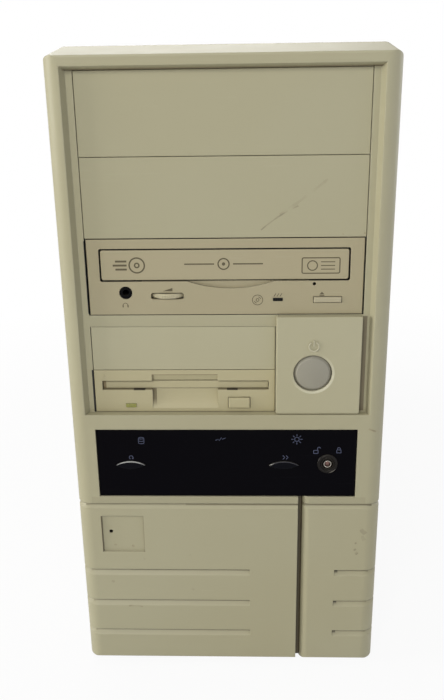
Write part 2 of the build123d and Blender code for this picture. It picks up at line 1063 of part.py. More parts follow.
with BuildPart() as headphone_jack:
    tube(front(recess_y + fit_gap), jack_x, jack_z, jack_radius, jack_bore, -jack_length)
    prism(
        front(recess_y + fit_gap + jack_length),
        about(jack_x, 2 * jack_radius),
        about(jack_z, 2 * jack_radius),
        -2 * sheet,
    )
save("headphone_jack", headphone_jack)

with BuildPart() as cd_eject_button:
    prism(
        front(recess_y - cd_eject_proud),
        about(cd_eject_x, cd_eject_width),
        about(cd_eject_z, cd_eject_height),
        -(cd_eject_proud + cd_eject_length),
    )
    fillet(cd_eject_button.faces().sort_by(Axis.Y)[0].edges(), radius=tray_edge)
save("cd_eject_button", cd_eject_button)

with BuildPart() as cd_drive_case:
    prism(
        front(cd_face_back_y),
        about(0, cd_case_width),
        (cd_case_bottom, cd_case_bottom + cd_case_height),
        -cd_case_length,
    )
    prism(
        front(cd_face_back_y),
        about(0, cd_case_width - 2 * sheet),
        (cd_case_bottom + sheet, cd_case_bottom + cd_case_height - sheet),
        -(cd_case_length - sheet),
        mode=Mode.SUBTRACT,
    )
    # runners under the tray's edges
    for runner_x in (
        (-cd_case_width / 2 + sheet / 2, tray_plate_x[0] + 2 * lip_wall),
        (tray_plate_x[1] - 2 * lip_wall, cd_case_width / 2 - sheet / 2),
    ):
        prism(
            front(cd_face_back_y + jack_length + 2 * sheet + 2 * fit_gap),
            runner_x,
            about(tray_bottom + tray_gap - fit_gap - sheet, 2 * sheet),
            -tray_length,
        )
    # deck that carries the jack, the wheel's axle and the spindle's bearing
    cd_deck_z = wheel_z - wheel_thickness / 2 - fit_gap
    prism(
        level(cd_deck_z),
        about(0, cd_case_width - sheet),
        (cd_face_back_y + cd_eject_length, cd_case_back_y - sheet / 2),
        -cd_deck,
    )
    prism(
        level(cd_deck_z),
        about(wheel_x, wheel_slot_width),
        (wheel_y - 2 * wheel_axle_radius, cd_face_back_y + cd_eject_length + sheet),
        -cd_deck,
    )
    rod(
        level(cd_deck_z - cd_deck),
        wheel_x,
        wheel_y,
        wheel_axle_radius,
        cd_deck + fit_gap + wheel_thickness + fit_gap,
    )
    rod(
        level(cd_deck_z),
        tray_shift,
        disc_y,
        spindle_axle_radius + fan_axle_play,
        -cd_deck,
        mode=Mode.SUBTRACT,
    )
save("cd_drive_case", cd_drive_case)

with BuildPart() as cd_spindle:
    spindle_base_z = wheel_z - wheel_thickness / 2
    rod(level(spindle_base_z), tray_shift, disc_y, spindle_axle_radius, -spindle_axle_radius)
    rod(
        level(spindle_base_z),
        tray_shift,
        disc_y,
        spindle_radius,
        tray_bottom + tray_gap - spindle_clearance - spindle_base_z,
    )
save("cd_spindle", cd_spindle)

# ---------------------------------------------------------------- diskette drive
floppy_bottom = narrow_bottom + (narrow_bay_pitch - floppy_height) / 2
floppy_top = floppy_bottom + floppy_height
floppy_face_back_y = recess_y + floppy_face_thickness
floppy_back_y = floppy_face_back_y + floppy_length
slot_x = about(narrow_x + slot_shift, slot_width)
slot_top = floppy_top - slot_drop
slot_z = (slot_top - slot_height, slot_top)
floppy_eject_x = about(narrow_x + floppy_eject_shift, floppy_eject_width)
floppy_eject_z = about(floppy_bottom + floppy_eject_rise, floppy_eject_height)
floppy_led_x = about(narrow_x + floppy_led_shift, floppy_led_width)
floppy_led_z = about(floppy_bottom + floppy_led_rise, floppy_led_height)

with BuildPart() as floppy_faceplate:
    prism(
        front(recess_y),
        about(narrow_x, floppy_width),
        (floppy_bottom, floppy_top),
        -floppy_face_thickness,
    )
    fillet(floppy_faceplate.faces().sort_by(Axis.Y)[0].edges(), radius=fit_gap)
    # thumb scoop that dips towards the slot
    with BuildSketch(side(narrow_x + thumb_shift - thumb_width / 2)) as thumb:
        with BuildLine():
            ThreePointArc(
                (recess_y, floppy_top - thumb_top_drop),
                (recess_y + thumb_cut, slot_z[0]),
                (recess_y, floppy_bottom + thumb_bottom_rise),
            )
            Line(
                (recess_y, floppy_bottom + thumb_bottom_rise),
                (recess_y, floppy_top - thumb_top_drop),
            )
        make_face()
    extrude(amount=thumb_width, mode=Mode.SUBTRACT)
    prism(front(recess_y), slot_x, slot_z, -floppy_face_thickness, mode=Mode.SUBTRACT)
    prism(
        front(recess_y),
        (floppy_eject_x[0] - fit_gap, floppy_eject_x[1] + fit_gap),
        (floppy_eject_z[0] - fit_gap, floppy_eject_z[1] + fit_gap),
        -floppy_face_thickness,
        mode=Mode.SUBTRACT,
    )
    prism(front(recess_y), floppy_led_x, floppy_led_z, -floppy_face_thickness, mode=Mode.SUBTRACT)
    # pivot holes for the flap's pins at the ends of the slot
    for ear_x in slot_x:
        rod(
            side(ear_x - sheet),
            recess_y + floppy_face_thickness - flap_pin_radius - fit_gap,
            slot_top - flap_pin_radius - 2 * fit_gap,
            flap_pin_radius + lock_play,
            2 * sheet,
            mode=Mode.SUBTRACT,
        )
save("floppy_faceplate", floppy_faceplate)

flap_axis_y = recess_y + floppy_face_thickness - flap_pin_radius - fit_gap
flap_axis_z = slot_top - flap_pin_radius - 2 * fit_gap
with BuildPart() as floppy_flap:
    rod(
        side(slot_x[0] - sheet + fit_gap),
        flap_axis_y,
        flap_axis_z,
        flap_pin_radius,
        slot_width + 2 * (sheet - fit_gap),
    )
    prism(
        front(flap_axis_y - flap_pin_radius),
        (slot_x[0] + fit_gap, slot_x[1] - fit_gap),
        (slot_z[0] + fit_gap, flap_axis_z),
        -flap_thickness,
    )
save("floppy_flap", floppy_flap)

with BuildPart() as floppy_eject_button:
    prism(
        front(recess_y - floppy_eject_proud),
        floppy_eject_x,
        floppy_eject_z,
        -(floppy_eject_proud + floppy_eject_length),
    )
    fillet(floppy_eject_button.faces().sort_by(Axis.Y)[0].edges(), radius=tray_edge)
save("floppy_eject_button", floppy_eject_button)

with BuildPart() as drive_lamps:
    prism(
        front(recess_y),
        about(busy_x, busy_width),
        about(cd_bottom + busy_rise, busy_height),
        -cd_eject_length,
    )
    prism(front(recess_y), floppy_led_x, floppy_led_z, -led_length)
save("drive_lamps", drive_lamps)

deck_z = slot_z[0] - sheet
with BuildPart() as floppy_drive_case:
    prism(
        front(floppy_face_back_y),
        about(narrow_x, floppy_width),
        (floppy_bottom, floppy_top),
        -floppy_length,
    )
    prism(
        front(floppy_face_back_y),
        about(narrow_x, floppy_width - 2 * sheet),
        (deck_z, floppy_top - sheet),
        -(floppy_length - header_width),
        mode=Mode.SUBTRACT,
    )
    prism(
        front(floppy_face_back_y),
        about(narrow_x, floppy_width - 2 * sheet),
        (floppy_bottom + sheet, deck_z - cd_deck),
        -(floppy_length - header_width),
        mode=Mode.SUBTRACT,
    )
save("floppy_drive_case", floppy_drive_case)

# ---------------------------------------------------------------- hard disk
disk_bottom = narrow_bottom - disk_drop
disk_front_y = cage_front_y + 2 * blank_wall
disk_back_y = disk_front_y + disk_length
with BuildPart() as hard_disk:
    prism(
        level(disk_bottom + disk_board),
        about(narrow_x, floppy_width),
        (disk_front_y, disk_back_y),
        disk_height - disk_board - disk_cover_step,
    )
    fillet(hard_disk.edges().filter_by(Axis.Z), radius=disk_corner)
    prism(
        level(disk_bottom + disk_height - disk_cover_step),
        about(narrow_x, floppy_width - 2 * disk_cover_step),
        (disk_front_y + disk_cover_step, disk_back_y - disk_cover_step),
        disk_cover_step,
        corner=bezel_corner,
    )
    prism(
        level(disk_bottom),
        about(narrow_x, floppy_width - 2 * blank_wall),
        (disk_front_y + disk_board_set_back, disk_back_y - disk_cover_step),
        disk_board,
    )
save("hard_disk", hard_disk)

# ---------------------------------------------------------------- chassis
wide_cage_half = cd_case_width / 2 + cage_play + sheet
wide_cage_bottom = cd_case_bottom - sheet - cage_play
narrow_cage_x = (
    narrow_x - floppy_width / 2 - cage_play - sheet,
    narrow_x + floppy_width / 2 + cage_play + sheet,
)
narrow_cage_bottom = disk_bottom - cage_play - 2 * sheet
board_face_x = chassis_half - sheet - standoff_length - board_thickness
board_bottom = base_z + board_bottom_margin
board_top = board_bottom + board_height
board_rear_y = rear_inner_y - board_rear_gap
board_front_y = board_rear_y - board_length
speaker_z = base_z + speaker_rise
psu_top = chassis_top - psu_drop
psu_z = (psu_top - psu_height, psu_top)
psu_front_y = rear_inner_y - psu_length
keyboard_z = board_top - keyboard_drop
slot_zs = [board_top - first_slot_drop - index * slot_pitch for index in range(slot_count)]
bracket_base_x = board_face_x - card_seat + bracket_overlap / 2
cover_screw_x = (chassis_half + cover_half - flange_width) / 2
cover_screw_zs = [base_z + share * (chassis_top - base_z) for share in cover_screw_shares]
cover_screw_places = [(end * cover_screw_x, z) for end in (-1, 1) for z in cover_screw_zs]

with BuildPart() as chassis_frame:
    # base pan with upturned sides
    with BuildSketch(front(plate_y)) as pan:
        span((-chassis_half, chassis_half), (base_z, base_z + pan_wall))
        span(
            (sheet - chassis_half, chassis_half - sheet),
            (base_z + sheet, base_z + 2 * pan_wall),
            mode=Mode.SUBTRACT,
        )
    extrude(amount=plate_y - rear_inner_y)
    # front plate with the bay openings
    with BuildSketch(front(plate_y)) as plate:
        span((-chassis_half, chassis_half), (base_z, chassis_top), corner=chassis_corner)
        span(
            (sheet - wide_cage_half, wide_cage_half - sheet),
            (wide_cage_bottom + sheet, chassis_top - pan_wall),
            mode=Mode.SUBTRACT,
        )
        span(
            (narrow_cage_x[0] + sheet, narrow_cage_x[1] - sheet),
            (narrow_cage_bottom + sheet, wide_cage_bottom - sheet),
            mode=Mode.SUBTRACT,
        )
        span(
            about(power_x, switch_width + 2 * fit_gap),
            about(switch_z, switch_height + 2 * fit_gap),
            mode=Mode.SUBTRACT,
        )
        # sound slots in front of the speaker
        with GridLocations(0, vent_pitch, 1, sound_slots):
            with Locations((speaker_x, speaker_z)):
                SlotOverall(sound_slot_length, vent_width, mode=Mode.SUBTRACT)
    extrude(amount=-sheet)
    # board tray on the right
    prism(
        side(chassis_half - sheet),
        (board_front_y - tray_front_margin, rear_inner_y),
        (base_z, board_top + tray_top_margin),
        sheet,
    )
    # side rails along the top
    for rail_side in (-1, 1):
        with BuildSketch(front(plate_y)) as rail:
            span(
                sorted((rail_side * chassis_half, rail_side * (chassis_half - sheet))),
                (chassis_top - rail_height, chassis_top),
            )
            span(
                sorted((rail_side * chassis_half, rail_side * (chassis_half - rail_height / 2))),
                (chassis_top - sheet, chassis_top),
            )
        extrude(amount=plate_y - rear_inner_y)
save("chassis_frame", chassis_frame)

with BuildPart() as rear_panel:
    with BuildSketch(front(rear_inner_y)) as rear_outline:
        span((-chassis_half, chassis_half), (base_z, chassis_top), corner=chassis_corner)
        span(
            about(0, psu_width - 2 * psu_window_margin),
            (psu_z[0] + psu_window_margin, psu_z[1] - psu_window_margin),
            mode=Mode.SUBTRACT,
        )
        with Locations(*cover_screw_places):
            Circle(screw_radius + fit_gap, mode=Mode.SUBTRACT)
        with Locations((board_face_x - keyboard_body / 2, keyboard_z)):
            Circle(keyboard_radius, mode=Mode.SUBTRACT)
        for slot_at in slot_zs:
            span(
                (bracket_base_x - bracket_height + pan_wall, bracket_base_x - pan_wall),
                about(slot_at, bracket_width - 2 * lip_wall),
                mode=Mode.SUBTRACT,
            )
    extrude(amount=-sheet)
save("rear_panel", rear_panel)


def drive_cage(x_limits, bottom, top):
    """Channel of folded sheet, open above and at both ends, with outward top flanges."""
    with BuildPart() as cage:
        with BuildSketch(front(cage_front_y)) as channel:
            span(x_limits, (bottom, top))
            span(
                (x_limits[0] + sheet, x_limits[1] - sheet),
                (bottom + sheet, top),
                mode=Mode.SUBTRACT,
            )
            span((x_limits[0] - cage_flange, x_limits[0] + sheet), (top - sheet, top))
            span((x_limits[1] - sheet, x_limits[1] + cage_flange), (top - sheet, top))
        extrude(amount=cage_front_y - cage_back_y)
    return cage


wide_cage_top = chassis_top - rail_height
save(
    "wide_drive_cage",
    drive_cage((-wide_cage_half, wide_cage_half), wide_cage_bottom, wide_cage_top),
)
save("small_drive_cage", drive_cage(narrow_cage_x, narrow_cage_bottom, wide_cage_bottom))

# ---------------------------------------------------------------- cover and its screws
cover_back_y = rear_face_y + fit_gap + sheet
with BuildPart() as outer_cover:
    with BuildSketch(front(bezel_back_y + fit_gap)) as cover_section:
        span((-cover_half, cover_half), (base_z - sheet, cover_top))
        fillet(cover_section.vertices().group_by(Axis.Y)[-1], radius=bezel_edge + sheet)
    extrude(amount=bezel_back_y + fit_gap - cover_back_y)
    with BuildSketch(front(bezel_back_y + fit_gap)) as cover_hollow:
        span((sheet - cover_half, cover_half - sheet), (base_z - 2 * sheet, cover_top - sheet))
        fillet(cover_hollow.vertices().group_by(Axis.Y)[-1], radius=bezel_edge)
    extrude(amount=bezel_back_y + fit_gap + sheet - cover_back_y, mode=Mode.SUBTRACT)
    prism(
        front(cover_back_y - sheet - fit_gap),
        (flange_width - cover_half, cover_half - flange_width),
        (base_z - 2 * sheet, cover_top - flange_width),
        -case_depth,
        mode=Mode.SUBTRACT,
    )
    with BuildSketch(front(cover_back_y)) as screw_holes:
        with Locations(*cover_screw_places):
            Circle(screw_radius + fit_gap)
    extrude(amount=2 * sheet, mode=Mode.SUBTRACT)
save("outer_cover", outer_cover)

with BuildPart() as cover_screws:
    for screw_x, screw_z in cover_screw_places:
        rod(front(cover_back_y), screw_x, screw_z, screw_head_radius, -screw_head_height)
        rod(front(cover_back_y), screw_x, screw_z, screw_radius, screw_length)
save("cover_screws", cover_screws)

with BuildPart() as feet:
    for foot_x in (foot_inset - chassis_half, chassis_half - foot_inset):
        for foot_y in (plate_y + foot_front, rear_inner_y - foot_back):
            with BuildSketch(level(base_z)) as foot:
                with Locations((foot_x, foot_y)):
                    Circle(foot_radius)
            extrude(foot.sketch, amount=-base_z, taper=foot_taper)
save("feet", feet)

# ---------------------------------------------------------------- power supply
fan_z = (psu_z[0] + psu_z[1]) / 2
fan_front_y = rear_inner_y - sheet - fan_depth
inlet_z = psu_z[0] + inlet_rise
outlet_z = psu_z[0] + outlet_rise
selector_z = (
    psu_z[1] - selector_drop - selector_travel - selector_height,
    psu_z[1] - selector_drop - selector_travel,
)

with BuildPart() as psu_case:
    prism(front(psu_front_y), about(0, psu_width), psu_z, -psu_length)
    prism(
        front(psu_front_y + sheet),
        about(0, psu_width - 2 * sheet),
        (psu_z[0] + sheet, psu_z[1] - sheet),
        -(psu_length - 2 * sheet),
        mode=Mode.SUBTRACT,
    )
    with BuildSketch(front(psu_front_y)) as air_slots:
        with Locations((0, fan_z)):
            with GridLocations(vent_pitch, 0, vent_count, 1):
                SlotOverall(vent_length, vent_width, rotation=90)
    extrude(amount=-sheet, mode=Mode.SUBTRACT)
    with BuildSketch(front(rear_inner_y)) as rear_holes:
        with Locations((fan_x, fan_z)):
            Circle(fan_bore)
        for socket_z in (inlet_z, outlet_z):
            span(about(socket_x, socket_width), about(socket_z, socket_height))
        span(
            about(socket_x, selector_width + 2 * fit_gap),
            (selector_z[0] - fit_gap, selector_z[1] + selector_travel + fit_gap),
        )
    extrude(amount=sheet, mode=Mode.SUBTRACT)
save("psu_case", psu_case)


def fan_frame(plane, size, bore, depth, bearing_radius, axle_radius, strut, back):
    """Square fan frame with four arms that hold the bearing at its near side."""
    with BuildPart() as frame:
        with BuildSketch(plane):
            RectangleRounded(size, size, bearing_radius / 2)
            Circle(bore, mode=Mode.SUBTRACT)
        extrude(amount=depth)
        with BuildSketch(plane):
            with PolarLocations(0, 4, start_angle=45):
                with Locations((bore / 2 + strut / 4, 0)):
                    Rectangle(bore + strut / 2, strut)
            Circle(bearing_radius)
            Circle(axle_radius + fan_axle_play, mode=Mode.SUBTRACT)
        extrude(amount=back)
    return frame


def fan_rotor(plane, hub, tip, base, depth, axle_radius):
    """Hub with pitched blades, and an axle that runs in the frame's bearing."""
    with BuildPart(plane) as rotor:
        with Locations((0, 0, base)):
            Cylinder(hub, depth, align=(Align.CENTER, Align.CENTER, Align.MIN))
        with PolarLocations(0, fan_blades):
            with Locations(Location(((hub + tip) / 2, 0, base + depth / 2), (blade_pitch, 0, 0))):
                Box(tip - hub + hub / 4, depth * blade_chord, blank_wall / 2)
        with Locations((0, 0, base)):
            Cylinder(
                tip,
                depth,
                align=(Align.CENTER, Align.CENTER, Align.MIN),
                mode=Mode.INTERSECT,
            )
        Cylinder(axle_radius, base + sheet, align=(Align.CENTER, Align.CENTER, Align.MIN))
    return rotor


psu_fan_plane = Plane(origin=(fan_x, fan_front_y, fan_z), x_dir=(1, 0, 0), z_dir=(0, 1, 0))
save(
    "psu_fan_frame",
    fan_frame(
        psu_fan_plane,
        fan_size,
        fan_bore,
        fan_depth,
        fan_bearing_radius,
        fan_axle_radius,
        fan_strut,
        fan_plate,
    ),
)
save(
    "psu_fan",
    fan_rotor(
        psu_fan_plane,
        fan_hub_radius,
        fan_bore - fan_tip_gap,
        fan_plate + fit_gap,
        fan_depth - fan_plate - 2 * fit_gap - sheet,
        fan_axle_radius,
    ),
)

guard_reach = (fan_size - 2 * fan_bearing_radius + fan_plate) / math.sqrt(2)
with BuildPart() as psu_fan_guard:
    with BuildSketch(front(rear_inner_y)) as guard:
        with Locations((fan_x, fan_z)):
            for ring in guard_rings:
                Circle(ring + guard_wire / 2)
                Circle(ring - guard_wire / 2, mode=Mode.SUBTRACT)
            Circle(guard_hub_radius)
            with PolarLocations(0, 2, start_angle=45, angular_range=180):
                Rectangle(2 * guard_reach, guard_wire)
            with PolarLocations(guard_reach, 4, start_angle=45):
                Circle(screw_head_radius)
    extrude(amount=-guard_wire)
save("psu_fan_guard", psu_fan_guard)


def mains_socket(z, pins):
    """Flanged three-pole socket: a recess with blades, or a plug face with slots."""
    with BuildPart() as socket:
        prism(
            front(rear_inner_y),
            about(socket_x, socket_width + 2 * socket_flange),
            about(z, socket_height + 2 * socket_flange),
            -socket_flange,
            corner=socket_flange / 2,
        )
        prism(
            front(rear_inner_y),
            about(socket_x, socket_width - 2 * fit_gap),
            about(z, socket_height - 2 * fit_gap),
            socket_depth,
        )
        if pins:
            prism(
                front(rear_inner_y + socket_flange),
                about(socket_x, socket_width - 2 * socket_rim),
                about(z, socket_height - 2 * socket_rim),
                socket_depth,
                corner=socket_flange,
                mode=Mode.SUBTRACT,
            )
        for pin_x, pin_z in ((-pin_pitch, -pin_width), (0, pin_width), (pin_pitch, -pin_width)):
            prism(
                front(rear_inner_y + socket_flange - (pin_recess if pins else 0)),
                about(socket_x + pin_x, pin_width),
                about(z + pin_z, pin_height),
                socket_depth - pin_recess / 2,
                mode=Mode.ADD if pins else Mode.SUBTRACT,
            )
    return socket


save("psu_inlet", mains_socket(inlet_z, True))
save("psu_outlet", mains_socket(outlet_z, False))

with BuildPart() as voltage_selector:
    prism(
        front(rear_inner_y + sheet),
        about(socket_x, selector_width),
        selector_z,
        selector_drop,
    )
    with BuildSketch(front(rear_inner_y + sheet)) as driver_slot:
        span(
            about(socket_x, selector_width / 3),
            about((selector_z[0] + selector_z[1]) / 2, sheet),
        )
    extrude(amount=selector_travel / 2, mode=Mode.SUBTRACT)
save("voltage_selector", voltage_selector)

# ---------------------------------------------------------------- system board
sink_z = board_bottom + sink_rise
sink_x = board_face_x - 2 * chip_height
module_ys = [board_front_y + module_front + index * module_pitch for index in range(module_count)]
module_z = (board_top - module_drop - module_length, board_top - module_drop)
power_plug_y = board_rear_y - power_plug_back
power_plug_z = board_top - keyboard_drop

with BuildPart() as motherboard:
    prism(
        side(board_face_x),
        (board_front_y, board_rear_y),
        (board_bottom, board_top),
        board_thickness,
    )
    # processor socket, controller chips, memory sockets and the supply header
    prism(side(board_face_x), about(sink_y, sink_size), about(sink_z, sink_size), -2 * chip_height)
    for chip_y in (1, 2, 3):
        prism(
            side(board_face_x),
            about(sink_y + chip_y * sink_size, chipset_size),
            about(board_bottom + sink_size / 2, chipset_size),
            -chip_height,
        )
    for module_y in module_ys:
        prism(
            side(board_face_x),
            about(module_y, 2 * chip_height),
            (module_z[0] - chip_height, module_z[1] + chip_height),
            -2 * chip_height,
        )
        prism(
            side(board_face_x - 2 * chip_height),
            about(module_y, module_thickness + lock_play),
            module_z,
            chip_height,
            mode=Mode.SUBTRACT,
        )
    prism(
        side(board_face_x),
        about(power_plug_y, plug_width),
        about(power_plug_z, plug_height),
        -header_height,
    )
save("motherboard", motherboard)

with BuildPart() as board_standoffs:
    for standoff_y in (
        board_front_y + standoff_inset,
        (board_front_y + board_rear_y) / 2,
        board_rear_y - standoff_inset,
    ):
        for standoff_z in (board_bottom + standoff_inset, board_top - standoff_inset):
            rod(
                side(board_face_x + board_thickness),
                standoff_y,
                standoff_z,
                standoff_radius,
                standoff_length,
            )
save("board_standoffs", board_standoffs)

slot_end_y = board_rear_y - slot_rear_gap
with BuildPart() as expansion_slots:
    for slot_index, slot_at in enumerate(slot_zs):
        slot_length = long_slot if slot_index < long_slots else short_slot
        prism(
            side(board_face_x),
            (slot_end_y - slot_length, slot_end_y),
            about(slot_at, slot_body_width),
            -slot_body_height,
        )
        prism(
            side(board_face_x - slot_body_height),
            (slot_end_y - slot_length + sheet, slot_end_y - sheet),
            about(slot_at, card_thickness + 2 * lock_play),
            card_seat + fit_gap,
            mode=Mode.SUBTRACT,
        )
save("expansion_slots", expansion_slots)

with BuildPart() as memory_modules:
    for module_y in module_ys:
        module_x = board_face_x - chip_height
        prism(side(module_x), about(module_y, module_thickness), module_z, -module_height)
        for chip_step in range(module_chips):
            prism(
                side(module_x - 2 * chip_height),
                (
                    module_y + module_thickness / 2,
                    module_y + module_thickness / 2 + chip_height / 2,
                ),
                about(
                    module_z[0] + (chip_step + 0.5) * module_length / module_chips,
                    module_length / module_chips - chip_height,
                ),
                -module_chip_height,
            )
save("memory_modules", memory_modules)

with BuildPart() as cpu_heatsink:
    prism(side(sink_x), about(sink_y, sink_size), about(sink_z, sink_size), -sink_base)
    fin_pitch = (sink_size - sink_fin) / (sink_fins - 1)
    for fin in range(sink_fins):
        fin_y = sink_y - sink_size / 2 + fin * fin_pitch
        prism(
            side(sink_x - sink_base),
            (fin_y, fin_y + sink_fin),
            about(sink_z, sink_size),
            sink_base - sink_height,
        )
save("cpu_heatsink", cpu_heatsink)

small_fan_plane = Plane(
    origin=(sink_x - sink_height, sink_y, sink_z), x_dir=(0, 1, 0), z_dir=(-1, 0, 0)
)
save(
    "cpu_fan_frame",
    fan_frame(
        small_fan_plane,
        small_fan_size,
        small_fan_bore,
        small_fan_depth,
        fan_bearing_radius,
        fan_axle_radius,
        fan_strut / 2,
        fan_plate,
    ),
)
save(
    "cpu_fan",
    fan_rotor(
        small_fan_plane,
        small_fan_hub,
        small_fan_bore - fan_tip_gap,
        fan_plate + fit_gap,
        small_fan_depth - fan_plate - 2 * fit_gap,
        fan_axle_radius,
    ),
)

keyboard_x = board_face_x - keyboard_body / 2
with BuildPart() as keyboard_socket:
    prism(
        side(board_face_x),
        (board_rear_y - keyboard_body, board_rear_y),
        about(keyboard_z, keyboard_body),
        -keyboard_body,
    )
    rod(
        front(board_rear_y),
        keyboard_x,
        keyboard_z,
        keyboard_radius - fit_gap,
        board_rear_y - rear_face_y - sheet,
    )
    rod(
        front(rear_face_y + sheet),
        keyboard_x,
        keyboard_z,
        keyboard_bore,
        keyboard_radius,
        mode=Mode.SUBTRACT,
    )
save("keyboard_socket", keyboard_socket)

# ---------------------------------------------------------------- expansion cards
card_edge_x = board_face_x - slot_body_height + card_seat
card_far_x = card_edge_x - card_height
bracket_y = rear_inner_y - bracket_thickness
bracket_x = (bracket_base_x - bracket_height, bracket_base_x)


def bracket(z):
    """Rear bracket of a card, on the inner face of the rear panel."""
    prism(front(bracket_y), bracket_x, about(z, bracket_width), -bracket_thickness)


def card(slot_index, length, chips):
    """Circuit board in a slot, its rear bracket and its larger chips."""
    z = slot_zs[slot_index]
    prism(
        level(z - card_thickness / 2),
        (card_far_x, card_edge_x - card_seat),
        (bracket_y - length, bracket_y),
        card_thickness,
    )
    # contact edge
    prism(
        level(z - card_thickness / 2),
        (card_edge_x - card_seat, card_edge_x),
        (
            max(slot_end_y - short_slot, bracket_y - length) + 2 * sheet,
            slot_end_y - 2 * sheet,
        ),
        card_thickness,
    )
    bracket(z)
    for chip_x, chip_y, chip_size in chips:
        prism(
            level(z + card_thickness / 2),
            about(card_far_x + chip_x * card_height, chip_size),
            about(bracket_y - chip_y * length, chip_size),
            chip_height,
        )


def port(z, x, width, height):
    """Connector body that reaches out through the bracket."""
    prism(
        front(back_y),
        about(x, width),
        about(z + card_thickness / 2 + height / 2 - port_sink, height),
        2 * pan_wall,
        corner=sheet,
    )


with BuildPart() as video_card:
    card(video_index, video_length, video_chips)
    port_x = card_far_x + card_height / 2
    port(slot_zs[video_index], port_x, video_port_width + port_depth, port_height)
save("video_card", video_card)

with BuildPart() as sound_card:
    card(sound_index, sound_length, sound_chips)
    jack_row_z = slot_zs[sound_index] + card_thickness / 2 + audio_jack_radius - sheet
    for jack_step in range(audio_jacks):
        rod(
            front(back_y),
            card_far_x + (jack_step + 1) * audio_jack_pitch,
            jack_row_z,
            audio_jack_radius,
            pan_wall,
        )
        rod(
            front(back_y),
            card_far_x + (jack_step + 1) * audio_jack_pitch,
            jack_row_z,
            audio_jack_bore,
            pan_wall - sheet,
            mode=Mode.SUBTRACT,
        )
    port(
        slot_zs[sound_index],
        card_far_x + game_port_shift,
        game_port_width,
        port_height,
    )
save("sound_card", sound_card)

floppy_header_y = bracket_y - floppy_header_back
disk_header_y = bracket_y - disk_header_back
ribbon_x = narrow_x + disk_ribbon_width / 2
io_top_z = slot_zs[io_index] + card_thickness / 2
with BuildPart() as io_card:
    card(io_index, io_length, io_chips)
    port(
        slot_zs[io_index],
        card_far_x + card_height / 2,
        printer_port_width,
        port_height,
    )
    for header_y, header_x in (
        (floppy_header_y, floppy_ribbon_width),
        (disk_header_y, disk_ribbon_width),
    ):
        prism(
            level(io_top_z),
            about(ribbon_x, header_x),
            about(header_y, header_width),
            header_height,
        )
save("io_card", io_card)

with BuildPart() as slot_covers:
    for slot_index, slot_at in enumerate(slot_zs):
        if slot_index not in (video_index, sound_index, io_index):
            bracket(slot_at)
save("slot_covers", slot_covers)

# ---------------------------------------------------------------- speaker
with BuildPart() as speaker:
    with BuildSketch(Plane.YZ.offset(speaker_x)) as speaker_half:
        with BuildLine():
            Polyline(
                (plate_y + sheet, speaker_z),
                (plate_y + sheet, speaker_z + speaker_radius),
                (plate_y + sheet + blank_wall, speaker_z + speaker_radius),
                (plate_y + sheet + speaker_depth / 2, speaker_z + speaker_magnet_radius),
                (plate_y + sheet + speaker_depth, speaker_z + speaker_magnet_radius),
                (plate_y + sheet + speaker_depth, speaker_z),
                close=True,
            )
        make_face()
    revolve(axis=Axis((speaker_x, 0, speaker_z), (0, 1, 0)))
save("speaker", speaker)


# ---------------------------------------------------------------- ribbons and leads
def ribbon(width, points):
    """Flat cable of even thickness along a route of (y, z) points."""
    with BuildPart() as cable:
        with BuildSketch(side(ribbon_x - width / 2)) as section:
            with BuildLine():
                FilletPolyline(*points, radius=ribbon_bend)
                offset(amount=ribbon_thickness, side=Side.RIGHT)
            make_face()
        extrude(section.sketch, amount=width)
    return cable


floppy_plug_z = floppy_bottom + floppy_height / 2
disk_plug_z = disk_bottom + disk_height / 2
floppy_loop_z = io_top_z + header_height + 4 * ribbon_bend
disk_loop_z = io_top_z + header_height + 3 * ribbon_bend
floppy_drop_y = disk_back_y + 3 * ribbon_bend
disk_drop_y = floppy_drop_y + 2 * ribbon_bend

save(
    "floppy_ribbon",
    ribbon(
        floppy_ribbon_width,
        (
            (floppy_header_y, io_top_z + header_height),
            (floppy_header_y, floppy_loop_z),
            (floppy_drop_y, floppy_loop_z),
            (floppy_drop_y, floppy_plug_z),
            (floppy_back_y, floppy_plug_z),
        ),
    ),
)
save(
    "disk_ribbon",
    ribbon(
        disk_ribbon_width,
        (
            (disk_header_y, io_top_z + header_height),
            (disk_header_y, disk_loop_z),
            (disk_drop_y, disk_loop_z),
            (disk_drop_y, disk_plug_z),
            (disk_back_y, disk_plug_z),
        ),
    ),
)


def lead(points):
    """Round bundle of wires along a route, as a separate solid."""
    with BuildLine() as route:
        FilletPolyline(*points, radius=lead_bend)
    start = Plane(origin=points[0], z_dir=Vector(*points[1]) - Vector(*points[0]))
    with BuildSketch(start) as section:
        Circle(lead_radius)
    sweep(section.sketch, path=route.wire())


def supply_route(x, height, drop_y, end_y, end_z):
    """Out of the supply's front, down, and forward to a plug."""
    return (
        (x, psu_front_y, psu_z[0] + height),
        (x, drop_y, psu_z[0] + height),
        (x, drop_y, end_z),
        (x, end_y, end_z),
    )


